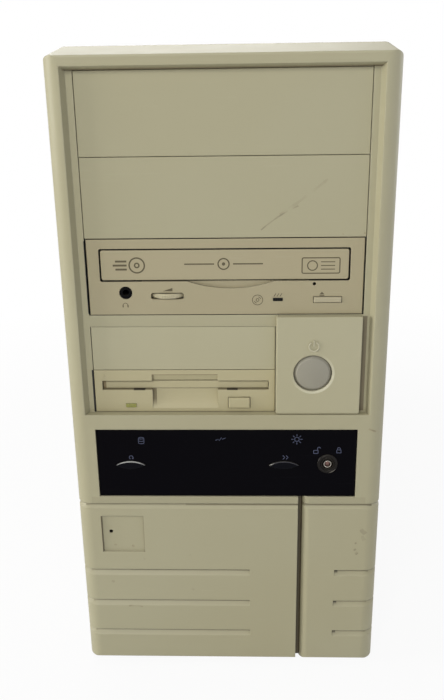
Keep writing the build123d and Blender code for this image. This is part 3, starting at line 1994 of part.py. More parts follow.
switch_back_y = switch_front_y + switch_length
switch_lead_x = power_x - switch_width / 4
disk_lead_x = narrow_cage_x[0] + plug_width / 2 + 2 * sheet
floppy_lead_x = disk_lead_x + plug_width + blank_wall
lead_drop_y = psu_front_y - 2 * lead_bend
with BuildPart() as supply_leads:
    for lead_x, lead_end_y, lead_end_z in (
        (cd_lead_x, cd_case_back_y, cd_case_bottom + plug_height),
        (disk_lead_x, disk_back_y, disk_plug_z),
        (floppy_lead_x, floppy_back_y, floppy_bottom + plug_height),
    ):
        lead(
            supply_route(
                lead_x, 2 * lead_radius, lead_drop_y, lead_end_y + plug_length, lead_end_z
            )
        )
        prism(
            front(lead_end_y),
            about(lead_x, plug_width),
            about(lead_end_z, plug_height),
            -plug_length,
        )
    lead(
        supply_route(
            switch_lead_x,
            plug_width,
            lead_drop_y - lead_bend,
            switch_back_y,
            switch_z,
        )
    )
    lead(
        (
            (board_lead_x, psu_front_y, psu_z[0] + 2 * lead_radius),
            (board_lead_x, power_plug_y, psu_z[0] + 2 * lead_radius),
            (board_lead_x, power_plug_y, power_plug_z),
            (board_face_x - header_height, power_plug_y, power_plug_z),
        )
    )
save("supply_leads", supply_leads)

# ---------------------------------------------------------------- drive screws
with BuildPart() as drive_screws:
    for screw_y in (cage_front_y + cage_length / 4, cage_front_y + cage_length * 3 / 4):
        for screw_x, screw_z in (
            (wide_cage_half, cd_z),
            (narrow_cage_x[1], floppy_plug_z),
            (narrow_cage_x[1], disk_plug_z),
        ):
            rod(side(screw_x), screw_y, screw_z, screw_head_radius, screw_head_height)
        for screw_x, screw_z in (
            (-wide_cage_half, cd_z),
            (narrow_cage_x[0], floppy_plug_z),
            (narrow_cage_x[0], disk_plug_z),
        ):
            rod(side(screw_x), screw_y, screw_z, screw_head_radius, -screw_head_height)
    for slot_at in slot_zs:
        rod(
            front(bracket_y),
            bracket_x[0] + pan_wall / 2,
            slot_at,
            screw_head_radius,
            screw_head_height,
        )
save("drive_screws", drive_screws)
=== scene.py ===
import math

import bmesh
import bpy
from mathutils import Euler, Matrix, Vector
from mathutils.geometry import tessellate_polygon


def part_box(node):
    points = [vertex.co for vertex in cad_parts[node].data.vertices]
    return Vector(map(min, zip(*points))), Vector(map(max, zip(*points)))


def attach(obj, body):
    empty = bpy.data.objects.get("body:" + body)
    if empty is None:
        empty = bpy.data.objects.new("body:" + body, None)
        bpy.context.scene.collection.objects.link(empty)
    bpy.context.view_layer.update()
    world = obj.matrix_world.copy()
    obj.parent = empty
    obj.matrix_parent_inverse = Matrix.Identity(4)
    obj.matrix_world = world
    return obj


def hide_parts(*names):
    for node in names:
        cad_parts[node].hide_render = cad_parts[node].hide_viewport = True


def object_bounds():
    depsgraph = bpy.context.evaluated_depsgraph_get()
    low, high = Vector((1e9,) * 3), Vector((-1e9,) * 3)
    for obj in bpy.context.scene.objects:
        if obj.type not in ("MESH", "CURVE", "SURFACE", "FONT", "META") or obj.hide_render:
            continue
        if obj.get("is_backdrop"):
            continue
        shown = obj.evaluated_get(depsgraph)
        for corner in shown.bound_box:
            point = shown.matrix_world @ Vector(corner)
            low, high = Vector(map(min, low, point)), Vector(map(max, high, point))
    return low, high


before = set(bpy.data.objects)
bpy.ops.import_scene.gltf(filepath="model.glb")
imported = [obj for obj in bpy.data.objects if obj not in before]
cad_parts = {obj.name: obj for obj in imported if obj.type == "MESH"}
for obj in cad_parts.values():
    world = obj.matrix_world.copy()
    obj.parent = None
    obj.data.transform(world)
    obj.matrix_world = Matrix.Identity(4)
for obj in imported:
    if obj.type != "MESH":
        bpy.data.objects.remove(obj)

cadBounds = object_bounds()
scene = bpy.context.scene
mm = 0.001


def tone(red, green, blue):  # 8-bit colour as it should look, turned to scene linear
    parts = [v / 255 for v in (red, green, blue)]
    return tuple(v / 12.92 if v <= 0.04045 else ((v + 0.055) / 1.055) ** 2.4 for v in parts) + (1.0,)


def inMetres(values):
    return [v * mm for v in values]


def take(look, names):  # several of its values at once
    return [look[name] for name in names.split()]


def frontOf(name):  # depth of a CAD piece's front face, in millimetres
    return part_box(name)[0][1] / mm


def addObject(name, data):
    made = bpy.data.objects.new(name, data)
    scene.collection.objects.link(made)
    return made


# Camera, lamps and floor
cameraLook = dict(
    place=(0.01342, -0.63591, 0.36946),
    yaw=-0.03592,  # radians, to the right of straight back
    down=0.35116,
    roll=0.01579,
    lens=43.2,
)


def addCamera(look):
    yaw, down, roll = take(look, "yaw down roll")
    ahead = Vector((math.sin(yaw) * math.cos(down), math.cos(yaw) * math.cos(down), -math.sin(down)))
    level = Vector((math.cos(yaw), -math.sin(yaw), 0))
    above = level.cross(ahead)
    right = level * math.cos(roll) - above * math.sin(roll)
    up = level * math.sin(roll) + above * math.cos(roll)
    data = bpy.data.cameras.new("camera")
    data.lens, data.clip_start, data.clip_end = look["lens"], 0.01, 50
    scene.camera = addObject("camera", data)
    turn = Matrix((right, up, -ahead)).transposed().to_4x4()
    scene.camera.matrix_world = Matrix.Translation(look["place"]) @ turn


lampLooks = dict(
    keyLamp=dict(place=(-0.5, -1.7, 1.35), size=0.5, power=17.7, colour=(1.0, 0.99, 0.97)),
    sideLamp=dict(place=(-1.8, -0.55, 0.5), size=0.6, power=20, colour=(1.0, 0.99, 0.97)),
    coolLamp=dict(place=(1.5, -0.8, 0.12), size=0.6, power=4, colour=(0.72, 0.76, 1.0)),
    fillLamp=dict(place=(0.9, -1.9, 0.25), size=1.2, power=7, colour=(0.93, 0.96, 1.0)),
    rightLamp=dict(place=(1.7, 0.75, 0.3), size=0.8, power=8, colour=(0.96, 0.97, 1.0)),
    topLamp=dict(place=(-0.4, 0.0, 2.0), size=1.0, power=10, colour=(1.0, 1.0, 1.0)),
    backLamp=dict(place=(-0.3, 1.8, 1.2), size=1.3, power=15, colour=(1.0, 1.0, 1.0)),
)


def addLamp(name, look):
    data = bpy.data.lights.new(name, "AREA")
    data.size, data.energy, data.color = take(look, "size power colour")
    lamp = addObject(name, data)
    lamp.location = look["place"]
    aim = Vector((0, 0, 0.18)) - lamp.location
    lamp.rotation_euler = aim.to_track_quat("-Z", "Y").to_euler()


def feed(tree, made, links):  # sockets or plain values into a node's inputs
    for socket, source in links.items():
        if isinstance(source, bpy.types.NodeSocket):
            tree.links.new(source, made.inputs[socket])
        else:
            made.inputs[socket].default_value = source


def node(tree, kind, links=None, **settings):
    made = tree.nodes.new(kind if "Node" in kind else "ShaderNode" + kind)
    for key, value in settings.items():
        setattr(made, key, value)
    feed(tree, made, links or {})
    return made


def maths(tree, operation, first, second=0.0, third=0.0, clamp=False):
    links = {0: first, 1: second, 2: third}
    return node(tree, "Math", links, operation=operation, use_clamp=clamp).outputs[0]


def times(tree, *factors):
    product = factors[0]
    for factor in factors[1:]:
        product = maths(tree, "MULTIPLY", product, factor)
    return product


def vector(tree, operation, first, second=(0, 0, 0)):
    made = node(tree, "VectorMath", {0: first, 1: second}, operation=operation)
    return made.outputs["Value" if operation in ("DOT_PRODUCT", "LENGTH") else "Vector"]


def split(tree, source):
    return node(tree, "SeparateXYZ", {0: source}).outputs


def ramp(tree, value, low, high, start=0.0, end=1.0):
    return node(tree, "MapRange", {0: value, 1: low, 2: high, 3: start, 4: end}).outputs[0]


def noise(tree, where, scale, detail=2.0, roughness=0.5):
    links = {"Vector": where, "Scale": scale, "Detail": detail, "Roughness": roughness}
    return node(tree, "TexNoise", links).outputs[0]


def mixColour(tree, factor, first, second, blend="MIX"):
    made = node(tree, "Mix", {0: factor, 6: first, 7: second}, data_type="RGBA", blend_type=blend)
    return made.outputs[2]


stageLook = dict(
    size=9.0,
    floorTone=(0.66, 0.66, 0.66, 1),
    glow=0.93,  # how much of the seen floor is plain white, near the case
    fade=(0.28, 0.62),  # from here outwards it turns wholly white
    ambient=0.19,
)


def whenSeen(tree):  # 1 for rays that show a surface, 0 for those that only light others
    path = node(tree, "LightPath").outputs
    direct = maths(tree, "MAXIMUM", path["Is Camera Ray"], path["Is Glossy Ray"])
    return maths(tree, "MAXIMUM", direct, path["Is Transmission Ray"])


def addStage(look):
    half, low = look["size"] / 2, -0.0002
    mesh = bpy.data.meshes.new("floor")
    corners = [(-half, -half, low), (half, -half, low), (half, half, low), (-half, half, low)]
    mesh.from_pydata(corners, [], [(0, 1, 2, 3)])
    material = bpy.data.materials.new("paleFloor")
    mesh.materials.append(material)
    addObject("floor", mesh)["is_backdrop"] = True
    scene.world = bpy.data.worlds.new("studio")
    for owner in (material, scene.world):
        owner.use_nodes = True
        owner.node_tree.nodes.clear()
    tree = material.node_tree
    away = vector(tree, "LENGTH", node(tree, "TexCoord").outputs["Object"])
    share = times(tree, whenSeen(tree), ramp(tree, away, *look["fade"], look["glow"]))
    paint = node(tree, "BsdfDiffuse", {"Color": look["floorTone"]}).outputs[0]
    white = node(tree, "Emission", {"Color": (1, 1, 1, 1), "Strength": 1.0}).outputs[0]
    both = node(tree, "MixShader", {0: share, 1: paint, 2: white})
    node(tree, "OutputMaterial", {"Surface": both.outputs[0]})
    tree = scene.world.node_tree
    colour = mixColour(tree, whenSeen(tree), (*[look["ambient"]] * 3, 1), (1, 1, 1, 1))
    back = node(tree, "Background", {"Color": colour, "Strength": 1.0})
    node(tree, "OutputWorld", {"Surface": back.outputs[0]})


addCamera(cameraLook)
for lampName, look in lampLooks.items():
    addLamp(lampName, look)
addStage(stageLook)
scene.view_settings.view_transform = "Standard"
print("camera, lamps and floor are in place")


# Effects that the finishes share: each function gets the group's inputs and gives its outputs
socketKinds = {int: "Int", float: "Float", 3: "Vector", 4: "Color"}


def makeGroup(sort, name, build, inputs, outputs):  # an input is given by its kind or by its value
    tree = bpy.data.node_groups.new(name, sort + "NodeTree")
    for title, value in inputs.items():
        kind = value if isinstance(value, str) else socketKinds.get(type(value)) or socketKinds[len(value)]
        socket = tree.interface.new_socket(title, in_out="INPUT", socket_type="NodeSocket" + kind)
        if kind != value:
            socket.default_value = value
    for title, kind in outputs.items():
        tree.interface.new_socket(title, in_out="OUTPUT", socket_type="NodeSocket" + kind)
    given = tree.nodes.new("NodeGroupInput").outputs
    end = tree.nodes.new("NodeGroupOutput")
    feed(tree, end, dict(zip(outputs, build(tree, given))))
    return tree


def softEdges(tree, given):  # softened edges, and a broken mask along them
    soft = node(tree, "Bevel", {"Radius": given["Radius"]}, samples=6).outputs[0]
    turned = vector(tree, "DOT_PRODUCT", soft, node(tree, "NewGeometry").outputs["Normal"])
    bend = maths(tree, "MULTIPLY", maths(tree, "SUBTRACT", 1.0, turned, clamp=True), 6.0, clamp=True)
    return soft, times(tree, bend, noise(tree, given["Vector"], 500.0, 3.0))


def agedColour(tree, given):  # slow drift of the colour, with fine flecks
    slow = noise(tree, given["Vector"], given["Scale"])
    drift = ramp(tree, slow, 0.35, 0.7, 0.0, given["Drift"])
    tinted = mixColour(tree, drift, given["Color"], given["Tint"])
    fleck = maths(tree, "SUBTRACT", noise(tree, given["Vector"], 2600.0, 1.0), 0.5)
    shift = maths(tree, "MULTIPLY_ADD", fleck, 0.03, 1.0)
    grey = node(tree, "CombineColor", {0: shift, 1: shift, 2: shift}).outputs[0]
    return [mixColour(tree, 1.0, tinted, grey, "MULTIPLY")]


def grainHeight(tree, given):  # moulded or cast grain
    return [noise(tree, given["Vector"], given["Scale"], 3.0, 0.6)]


def dirtAndShadeMasks(tree, given):  # dirt and painted shade in corners, and dust on what faces up
    shut = node(tree, "AmbientOcclusion", {"Distance": 4 * mm}, samples=4).outputs["AO"]
    clouds = noise(tree, given["Vector"], 60.0, 4.0)
    deep = maths(tree, "POWER", maths(tree, "SUBTRACT", 1.0, shut), 2.2)
    corners = maths(tree, "MULTIPLY", deep, clouds, clamp=True)
    facing = split(tree, node(tree, "NewGeometry").outputs["Normal"])
    upward = maths(tree, "SUBTRACT", facing["Z"], 0.55, clamp=True)
    return corners, times(tree, upward, 2.2, clouds, given["Dust"])


def handlingLines(tree, given):  # thin scattered handling marks
    lines = []
    for turn, stretch in ((0.5, 30.0), (-0.9, 42.0)):
        links = {"Vector": given["Vector"], "Rotation": (0.2, turn, 0.3), "Scale": (1, 1, stretch)}
        streak = noise(tree, node(tree, "Mapping", links).outputs[0], 26.0, 1.0)
        lines.append(maths(tree, "GREATER_THAN", streak, 0.735))
    some = maths(tree, "GREATER_THAN", noise(tree, given["Vector"], 14.0), 0.52)
    return [times(tree, maths(tree, "MAXIMUM", *lines), some, given["Amount"])]


def bowedLine(tree, given):  # one bowed mark between two points on a front face
    where, start = given["Vector"], given["Start"]
    chord = vector(tree, "SUBTRACT", given["End"], start)
    place = vector(tree, "SUBTRACT", where, start)
    along = vector(tree, "NORMALIZE", chord)
    across = vector(tree, "CROSS_PRODUCT", along, (0, 1, 0))
    run = maths(tree, "DIVIDE", vector(tree, "DOT_PRODUCT", place, along), vector(tree, "LENGTH", chord))
    curve = times(tree, run, maths(tree, "SUBTRACT", 1.0, run), 4.0, given["Bow"])
    off = maths(tree, "SUBTRACT", vector(tree, "DOT_PRODUCT", place, across), curve)
    width = times(tree, given["Width"], noise(tree, where, 240.0, 3.0))
    near = maths(tree, "LESS_THAN", maths(tree, "ABSOLUTE", off), width)
    inside = times(tree, maths(tree, "GREATER_THAN", run, 0), maths(tree, "LESS_THAN", run, 1))
    return [times(tree, near, inside, ramp(tree, noise(tree, where, 110.0), 0.35, 0.65))]


def depthMask(tree, given):  # mask for painted shade: what lies behind a front face, inside one box and outside another
    axes = split(tree, given["Vector"])

    def inBox(low, high):
        mask = 1.0
        lows, highs = split(tree, given[low]), split(tree, given[high])
        for axis in ("X", "Z"):
            above = maths(tree, "GREATER_THAN", axes[axis], lows[axis])
            below = maths(tree, "LESS_THAN", axes[axis], highs[axis])
            mask = times(tree, mask, times(tree, above, below))
        return mask

    behind = maths(tree, "SUBTRACT", axes["Y"], given["Face"])
    level = maths(tree, "SUBTRACT", maths(tree, "DIVIDE", behind, given["Depth"]), 0.5, clamp=True)
    kept = maths(tree, "SUBTRACT", inBox("Low", "High"), inBox("SkipLow", "SkipHigh"), clamp=True)
    return [times(tree, level, kept)]


def crescentHighlight(tree, given):  # painted highlight round a hole in a front face, strongest at its lower right
    place = vector(tree, "SUBTRACT", given["Vector"], given["Centre"])
    flat = vector(tree, "MULTIPLY", place, (1, 0, 1))
    radius = vector(tree, "LENGTH", flat)
    outside = maths(tree, "GREATER_THAN", radius, given["Inner"])
    inside = maths(tree, "LESS_THAN", radius, given["Outer"])
    lean = vector(tree, "DOT_PRODUCT", vector(tree, "NORMALIZE", flat), (0.6, 0, -0.8))
    return [times(tree, outside, inside, maths(tree, "MULTIPLY_ADD", lean, 0.6, 0.35, clamp=True))]


def makeEffect(name, build, inputs, **outputs):
    return makeGroup("Shader", name, build, dict(Vector="Vector", **inputs), outputs)


zero = (0, 0, 0)
edgeWear = makeEffect("edgeWear", softEdges, dict(Radius=0.4 * mm), Normal="Vector", Mask="Float")
ageingInputs = dict(Color=(0.5, 0.5, 0.5, 1), Tint=(0.5, 0.45, 0.3, 1), Drift=0.2, Scale=9.0)
ageing = makeEffect("ageing", agedColour, ageingInputs, Color="Color")
grain = makeEffect("grain", grainHeight, dict(Scale=1800.0), Height="Float")
grime = makeEffect("grime", dirtAndShadeMasks, dict(Dust=0.2), Corners="Float", Dust="Float")
hairlines = makeEffect("hairlines", handlingLines, dict(Amount=0.5), Mask="Float")
lineInputs = dict(Start=zero, End=(1, 0, 0), Bow=0.0, Width=0.4 * mm)
lineMark = makeEffect("lineMark", bowedLine, lineInputs, Mask="Float")
shadeInputs = dict(Face=-0.2, Depth=0.6 * mm, Low=zero, High=zero, SkipLow=zero, SkipHigh=zero)
depthShade = makeEffect("depthShade", depthMask, shadeInputs, Mask="Float")
ringInputs = dict(Centre=zero, Inner=0.01, Outer=0.011)
ringHighlight = makeEffect("ringHighlight", crescentHighlight, ringInputs, Mask="Float")


# Layers that a finish may carry: the effect, its inputs, its strength and its colour
allDepths = -300  # a shade from here on reaches every face in its box
allOver = (-900, -900, 900, 900)  # a box is its low x and z and its high x and z
nowhere = (900, 900, 900, 900)


def onFront(x, z):
    return (x * mm, 0, z * mm)


def mark(x, z, endX, endZ, width, strength, colour, bow=0.0):
    links = dict(Start=onFront(x, z), End=onFront(endX, endZ), Bow=bow * mm, Width=width * mm)
    return lineMark, links, strength, tone(*colour)


# a painted shade layer: darker where faces lie deeper than face, inside box and outside lit
def shade(box, strength=1.0, colour=(34, 29, 22), face=allDepths, depth=0.5, lit=nowhere):
    links = dict(Low=onFront(*box[:2]), High=onFront(*box[2:]), Face=face * mm, Depth=depth * mm)
    links.update(SkipLow=onFront(*lit[:2]), SkipHigh=onFront(*lit[2:]))
    return depthShade, links, strength, tone(*colour)


plainLook = dict(  # what a finish has where its own look says nothing
    pattern=None,
    drift=0.3,
    driftScale=9.0,
    edge=0.4 * mm,
    wear=0.4,
    # grime and painted shade in corners, and its colour
    grime=0.5,
    grimeAndShadeColour=(84, 72, 52),
    dust=0.15,
    hairlines=0.15,
    layers=(),
    grainScale=1800.0,
    grainStrength=0.15,
    grainDepth=0.05 * mm,
    roughVariation=0.12,
    metallic=0.0,
    specular=0.5,
    coat=0.0,
    on=(),  # CAD pieces that wear it
)
finishes = {}


def finish(name, look):  # one finish: base colour, ageing, grain, worn edges, grime with painted corner shade, and layers
    look = {**plainLook, **dict.fromkeys(("tint", "wornColour", "scratchColour"), look["colour"]), **look}
    for key in look:
        if key == "tint" or key.lower().endswith("colour"):
            look[key] = tone(*look[key])
    material = finishes[name] = bpy.data.materials.new(name)
    material.use_nodes = True
    tree = material.node_tree
    where = node(tree, "TexCoord").outputs["Object"]

    def effect(group, **links):
        return node(tree, "Group", dict(links, Vector=where), node_tree=group).outputs

    def cover(mask, strength, above):
        return mixColour(tree, times(tree, mask, strength), colour, above)

    colour = look["pattern"](tree, where, look) if look["pattern"] else look["colour"]
    drift = dict(Drift=look["drift"], Scale=look["driftScale"])
    colour = effect(ageing, Color=colour, Tint=look["tint"], **drift)["Color"]
    edges = effect(edgeWear, Radius=look["edge"])
    colour = cover(edges["Mask"], look["wear"], look["wornColour"])
    dirtAndShade = effect(grime, Dust=look["dust"])
    # darker in corners and recesses by ambient occlusion: grime and painted shade in one
    colour = cover(dirtAndShade["Corners"], look["grime"], look["grimeAndShadeColour"])
    scratches = effect(hairlines, Amount=look["hairlines"])["Mask"]
    colour = mixColour(tree, scratches, colour, look["scratchColour"])
    for group, links, strength, layerColour in look["layers"]:
        colour = cover(effect(group, **links)["Mask"], strength, layerColour)
    colour = mixColour(tree, dirtAndShade["Dust"], colour, tone(150, 145, 130))
    height = effect(grain, Scale=look["grainScale"])["Height"]
    uneven = maths(tree, "MULTIPLY_ADD", height, look["roughVariation"], look["roughness"])
    bump = dict(Height=height, Strength=look["grainStrength"], Distance=look["grainDepth"])
    links = {
        "Base Color": colour,
        "Roughness": maths(tree, "MULTIPLY_ADD", dirtAndShade["Dust"], 0.6, uneven, clamp=True),
        "Normal": node(tree, "Bump", dict(bump, Normal=edges["Normal"])).outputs[0],
        "Metallic": look["metallic"],
        "Specular IOR Level": look["specular"],
        "Coat Weight": look["coat"],
    }
    feed(tree, tree.nodes["Principled BSDF"], links)
    for piece in look["on"]:
        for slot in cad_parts[piece].material_slots:
            slot.material = material


def addFinishes(looks):
    for name, look in looks.items():
        finish(name, look)


# Finishes of the front; marks and shades are placed in millimetres from the case's middle and the ground
frontLook = dict(
    colour=(163, 158, 130), tint=(158, 150, 117), drift=0.35, roughness=0.42, specular=0.35, wear=0.5,
    wornColour=(188, 184, 158), grime=0.75, grainStrength=0.1, hairlines=0.1, scratchColour=(176, 172, 146),
)
paleLook = dict(frontLook, colour=(169, 164, 136), tint=(164, 157, 124))
markBrown, markGrey, speckBrown, scratchGrey = (112, 96, 66), (126, 120, 98), (78, 66, 44), (104, 98, 76)
# colours of painted shade in gaps, grooves, hollows, slots and notches
gapShadow, slotLineShadow, grooveShadow, hollowShadow = (16, 14, 12), (70, 58, 36), (84, 76, 52), (14, 12, 10)
slotShadow, notchShadow = (90, 76, 48), (44, 37, 24)
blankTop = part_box("bay_blank_upper")[1][2] / mm
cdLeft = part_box("cd_faceplate")[0][0] / mm - 0.5
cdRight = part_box("cd_faceplate")[1][0] / mm + 0.4
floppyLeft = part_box("floppy_faceplate")[0][0] / mm - 0.5
lineTop = 115.6
ribTops = (70.1, 48.1, 26.1)
bezelMarks = [
    mark(80.0, 163.8, 84.2, 162.0, 0.9, 0.8, markBrown),
    mark(75.6, 82.8, 76.8, 81.4, 1.8, 1.0, speckBrown),
    mark(74.8, 84.9, 75.6, 83.9, 1.4, 1.0, speckBrown),
    mark(75.2, 89.4, 75.9, 88.6, 1.2, 0.8, speckBrown),
    mark(78.2, 98.4, 81.0, 95.4, 2.6, 0.6, markGrey),
    mark(79.0, 94.0, 80.6, 91.0, 2.2, 0.5, markGrey),
    mark(-62.0, 43.4, -53.5, 42.8, 1.1, 0.7, markBrown, bow=0.3),
    mark(-64.0, 35.6, -62.8, 34.6, 1.8, 0.5, markGrey),
    mark(-22.8, 56.4, -21.4, 55.4, 1.8, 0.45, markGrey),
    mark(-68.8, 86.8, -67.4, 86.0, 1.6, 0.7, markBrown),
    mark(-58.0, 86.2, -56.6, 85.2, 1.4, 0.7, markBrown),
    mark(-51.4, 79.2, -50.6, 77.0, 1.4, 0.5, markGrey),
    mark(-24.4, 80.6, -22.4, 80.0, 1.2, 0.6, markGrey),
    mark(-71.6, 61.8, -70.0, 61.0, 1.4, 0.7, markGrey),
]
# painted shadow on the grooves' floors under their upper edges
lineShades = [
    shade((low, lineTop - 1.9, high, lineTop + 0.2), strength, grooveShadow, -204.5, 0.4)
    for low, high, strength in ((-84, -25, 0.45), (-25, 41, 0.8), (43, 84, 0.7))
]
ribShades = [
    shade((low, top - 2.4, high, top + 0.2), strength, grooveShadow, -203.6, 0.4)
    for top in ribTops
    for low, high, strength in ((-84, -60, 0.3), (-60, 12.6, 0.45), (65.6, 84, 0.3))
]
# painted shade in the bezel's recesses, gaps, holes and groove ends
bezelShades = [
    shade((-80, lineTop + 0.2, 80, 120.0), 0.12, grooveShadow),
    shade((-75.5, 120.5, 75.5, 273.0), face=-200.0, depth=0.3),  # painted shade in the gaps round the drives
    # painted shadow under the recess's top wall
    shade((-80, blankTop, 80, blankTop + 2.4), 0.75, (84, 68, 44), -204.6, 3.0),
    shade((40.5, 0, 43.6, 121), 0.85, (62, 50, 26), -204.4, 1.0),
    shade((-71.4, 93.9, -68.8, 97.2), 1.0, (20, 16, 12), -203.9, 0.6),
    shade((63.2, 20, 65.6, 71), 1.0, (50, 42, 26), -204.6, 1.0),
    shade((cdLeft - 0.7, 231, cdLeft + 0.7, 271.4), 1.0, gapShadow),
    shade((cdRight - 0.5, 231, cdRight + 0.4, 271.4), 1.0, gapShadow),
    shade((floppyLeft - 0.6, 172.4, floppyLeft + 0.7, 198), 1.0, gapShadow),
    # painted shadow that the switch panel casts on the recess floor
    shade((74.2, 173.0, 77.0, 229.0), 0.75, (92, 80, 62)),
    shade((-75.6, 82.3, -75.05, 107.0), 0.8, (74, 62, 40)),
    shade((-50.6, 82.3, -50.2, 107.0), 0.5, (94, 82, 56)),
]
blankMarks = [
    mark(19.2, 276.6, 38.6, 289.2, 0.7, 0.6, scratchGrey, bow=0.9),
    mark(29.0, 284.6, 53.5, 302.8, 1.3, 0.25, scratchGrey, bow=-0.5),
    mark(61.8, 274.4, 62.6, 273.9, 0.7, 0.8, markBrown),
    mark(73.2, 274.9, 74.0, 274.3, 0.8, 0.8, markBrown),
]
cdHollow = (-45, 238, 45, 249.0)  # the thumb hollow under the tray stays lit
# painted shade, nearly black, in the gaps round the faceplate and the tray
cdShade = shade(allOver, 1.0, hollowShadow, frontOf("cd_faceplate") + 0.1, 0.3, lit=cdHollow)
trayShade = shade(allOver, 1.0, hollowShadow, frontOf("cd_tray_front") + 0.15, 0.3)
# painted shade in the drive's slot, gaps, thumb hollow and recess, and two small notches drawn as painted
# shade
floppyShades = [
    shade(allOver, 1.0, (40, 33, 20), -197.4, 1.4),
    shade((-42.2, 174.9, -39.7, 186), 0.7, (80, 68, 44), -200.0, 1.2),
    shade((-70.3, 185.8, 23.7, 186.15), 0.5, slotLineShadow),
    shade((-70.3, 191.2, 23.7, 191.5), 0.35, slotLineShadow),
    shade((-41.9, 194.7, -4.9, 195.2), 0.5, slotShadow),
    shade((-41.9, 191, -40.7, 195.2), 0.5, slotShadow, -200.9, 0.4),
    shade((-52.5, 185.6, -46.0, 186.1), 1.0, notchShadow),
    shade((0.2, 185.6, 6.2, 186.1), 1.0, notchShadow),
]
powerLow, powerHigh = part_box("power_button")
powerCentre = [(a + b) / 2 for a, b in zip(powerLow, powerHigh)]
powerRadius = (powerHigh[0] - powerLow[0]) / 2
powerRingHighlight = dict(Centre=powerCentre, Inner=powerRadius, Outer=powerRadius + 1.7 * mm)
driveLook = dict(frontLook, grainScale=2600.0)
floppyLook = dict(
    driveLook, colour=(172, 164, 131), tint=(168, 158, 120), wornColour=(204, 198, 168), wear=0.8,
)
inkLook = dict(
    colour=(88, 80, 60), tint=(104, 96, 74), drift=0.5, roughness=0.55, specular=0.3, wear=0.2, grime=0.1,
    edge=0.02 * mm, grainScale=4000.0,
)
frontFinishes = dict(
    frontPlastic=dict(frontLook, on=["bay_blank_upper"]),
    bezelPlastic=dict(
        frontLook, edge=0.7 * mm, wear=0.4, layers=bezelMarks + lineShades + ribShades + bezelShades,
        on=["front_bezel"],
    ),
    scratchedBlank=dict(frontLook, layers=blankMarks, on=["bay_blank_lower"]),
    palePlastic=dict(paleLook, on=["small_bay_blank"]),
    # painted highlight round the power button's hole
    switchPlastic=dict(
        paleLook, edge=1.0 * mm, wear=0.25, layers=[(ringHighlight, powerRingHighlight, 0.8, tone(206, 202, 176))],
        on=["switch_panel"],
    ),
    buttonGrey=dict(
        colour=(143, 140, 127), tint=(140, 132, 108), roughness=0.45, specular=0.35, wear=0.6,
        wornColour=(176, 174, 160), grainStrength=0.12, on=["power_button"],
    ),
    drivePlastic=dict(
        driveLook, colour=(160, 151, 122), tint=(156, 145, 112), wornColour=(190, 184, 158), wear=0.8,
        layers=[cdShade], on=["cd_faceplate"],
    ),
    trayPlastic=dict(
        driveLook, colour=(162, 153, 124), tint=(158, 147, 114), wornColour=(196, 190, 162), wear=0.9,
        layers=[trayShade], on=["cd_tray_front"],
    ),
    creamButton=dict(
        frontLook, colour=(168, 160, 133), tint=(162, 152, 124), wornColour=(204, 197, 172), wear=0.9,
        on=["cd_eject_button"],
    ),
    wheelPlastic=dict(frontLook, colour=(190, 182, 152), tint=(178, 168, 134), wornColour=(214, 208, 184)),
    floppyPlastic=dict(floppyLook, on=["floppy_eject_button"]),
    # painted shade at the slot's left end
    flapPlastic=dict(
        floppyLook, layers=[shade((-71, 185, -68.2, 192), 0.7, (104, 84, 54))], on=["floppy_flap"],
    ),
    floppyFace=dict(floppyLook, layers=floppyShades, on=["floppy_faceplate"]),
    smokedGloss=dict(
        colour=(5, 4, 8), tint=(8, 8, 10), roughness=0.12, roughVariation=0.05, specular=0.03, wear=0.15,
        wornColour=(40, 40, 44), grime=0.2, dust=0.1, grainStrength=0.02, hairlines=0.05,
        scratchColour=(46, 46, 50), on=["display_panel"],
    ),
    buttonGloss=dict(
        colour=(7, 7, 13), roughness=0.2, specular=0.05, wear=0.3, wornColour=(50, 50, 56), grime=0.1,
        grainStrength=0.03,
    ),
    blackPlastic=dict(
        colour=(26, 26, 27), tint=(38, 36, 33), roughness=0.5, wear=0.4, wornColour=(62, 62, 62), grime=0.3,
        grimeAndShadeColour=(70, 64, 54), grainStrength=0.2,
        on=[
            "power_switch", "cd_tray", "cd_spindle", "psu_fan_frame", "psu_inlet", "psu_outlet",
            "cpu_fan_frame", "keyboard_socket", "speaker",
        ],
    ),
    jackBlack=dict(
        colour=(6, 6, 6), roughness=0.5, specular=0.06, wear=0.15, wornColour=(40, 38, 35), grime=0.2,
        on=["headphone_jack"],
    ),
    lampLens=dict(
        colour=(134, 134, 56), roughness=0.2, coat=0.5, wear=0.1, grime=0.2, edge=0.2 * mm,
        on=["indicator_leds"],
    ),
    busyBlack=dict(
        colour=(10, 10, 9), roughness=0.3, specular=0.15, wear=0.3, wornColour=(60, 56, 50), edge=0.15 * mm,
    ),
    driveInk=inkLook,
    panelInk=dict(inkLook, colour=(68, 73, 94), tint=(58, 63, 82)),
    # a lighter copy of the front plastic: painted light on the raised power symbol
    raisedPlastic=dict(frontLook, colour=(180, 175, 149), tint=(174, 168, 140)),
)
addFinishes(frontFinishes)


# Finishes of metals, boards and wiring
def spangle(tree, where, look):  # crystal patches of zinc on sheet steel
    cells = node(tree, "TexVoronoi", {"Vector": where, "Scale": 210.0})
    pick = node(tree, "SeparateColor", {0: cells.outputs["Color"]})
    return mixColour(tree, pick.outputs[0], look["colour"], look["secondColour"])


def traces(tree, where, look):  # copper tracks under solder mask
    wave = node(tree, "TexVoronoi", {"Vector": where, "Scale": 260.0}, distance="MANHATTAN")
    thin = maths(tree, "GREATER_THAN", wave.outputs["Distance"], 0.62)
    return mixColour(tree, thin, look["colour"], look["secondColour"])


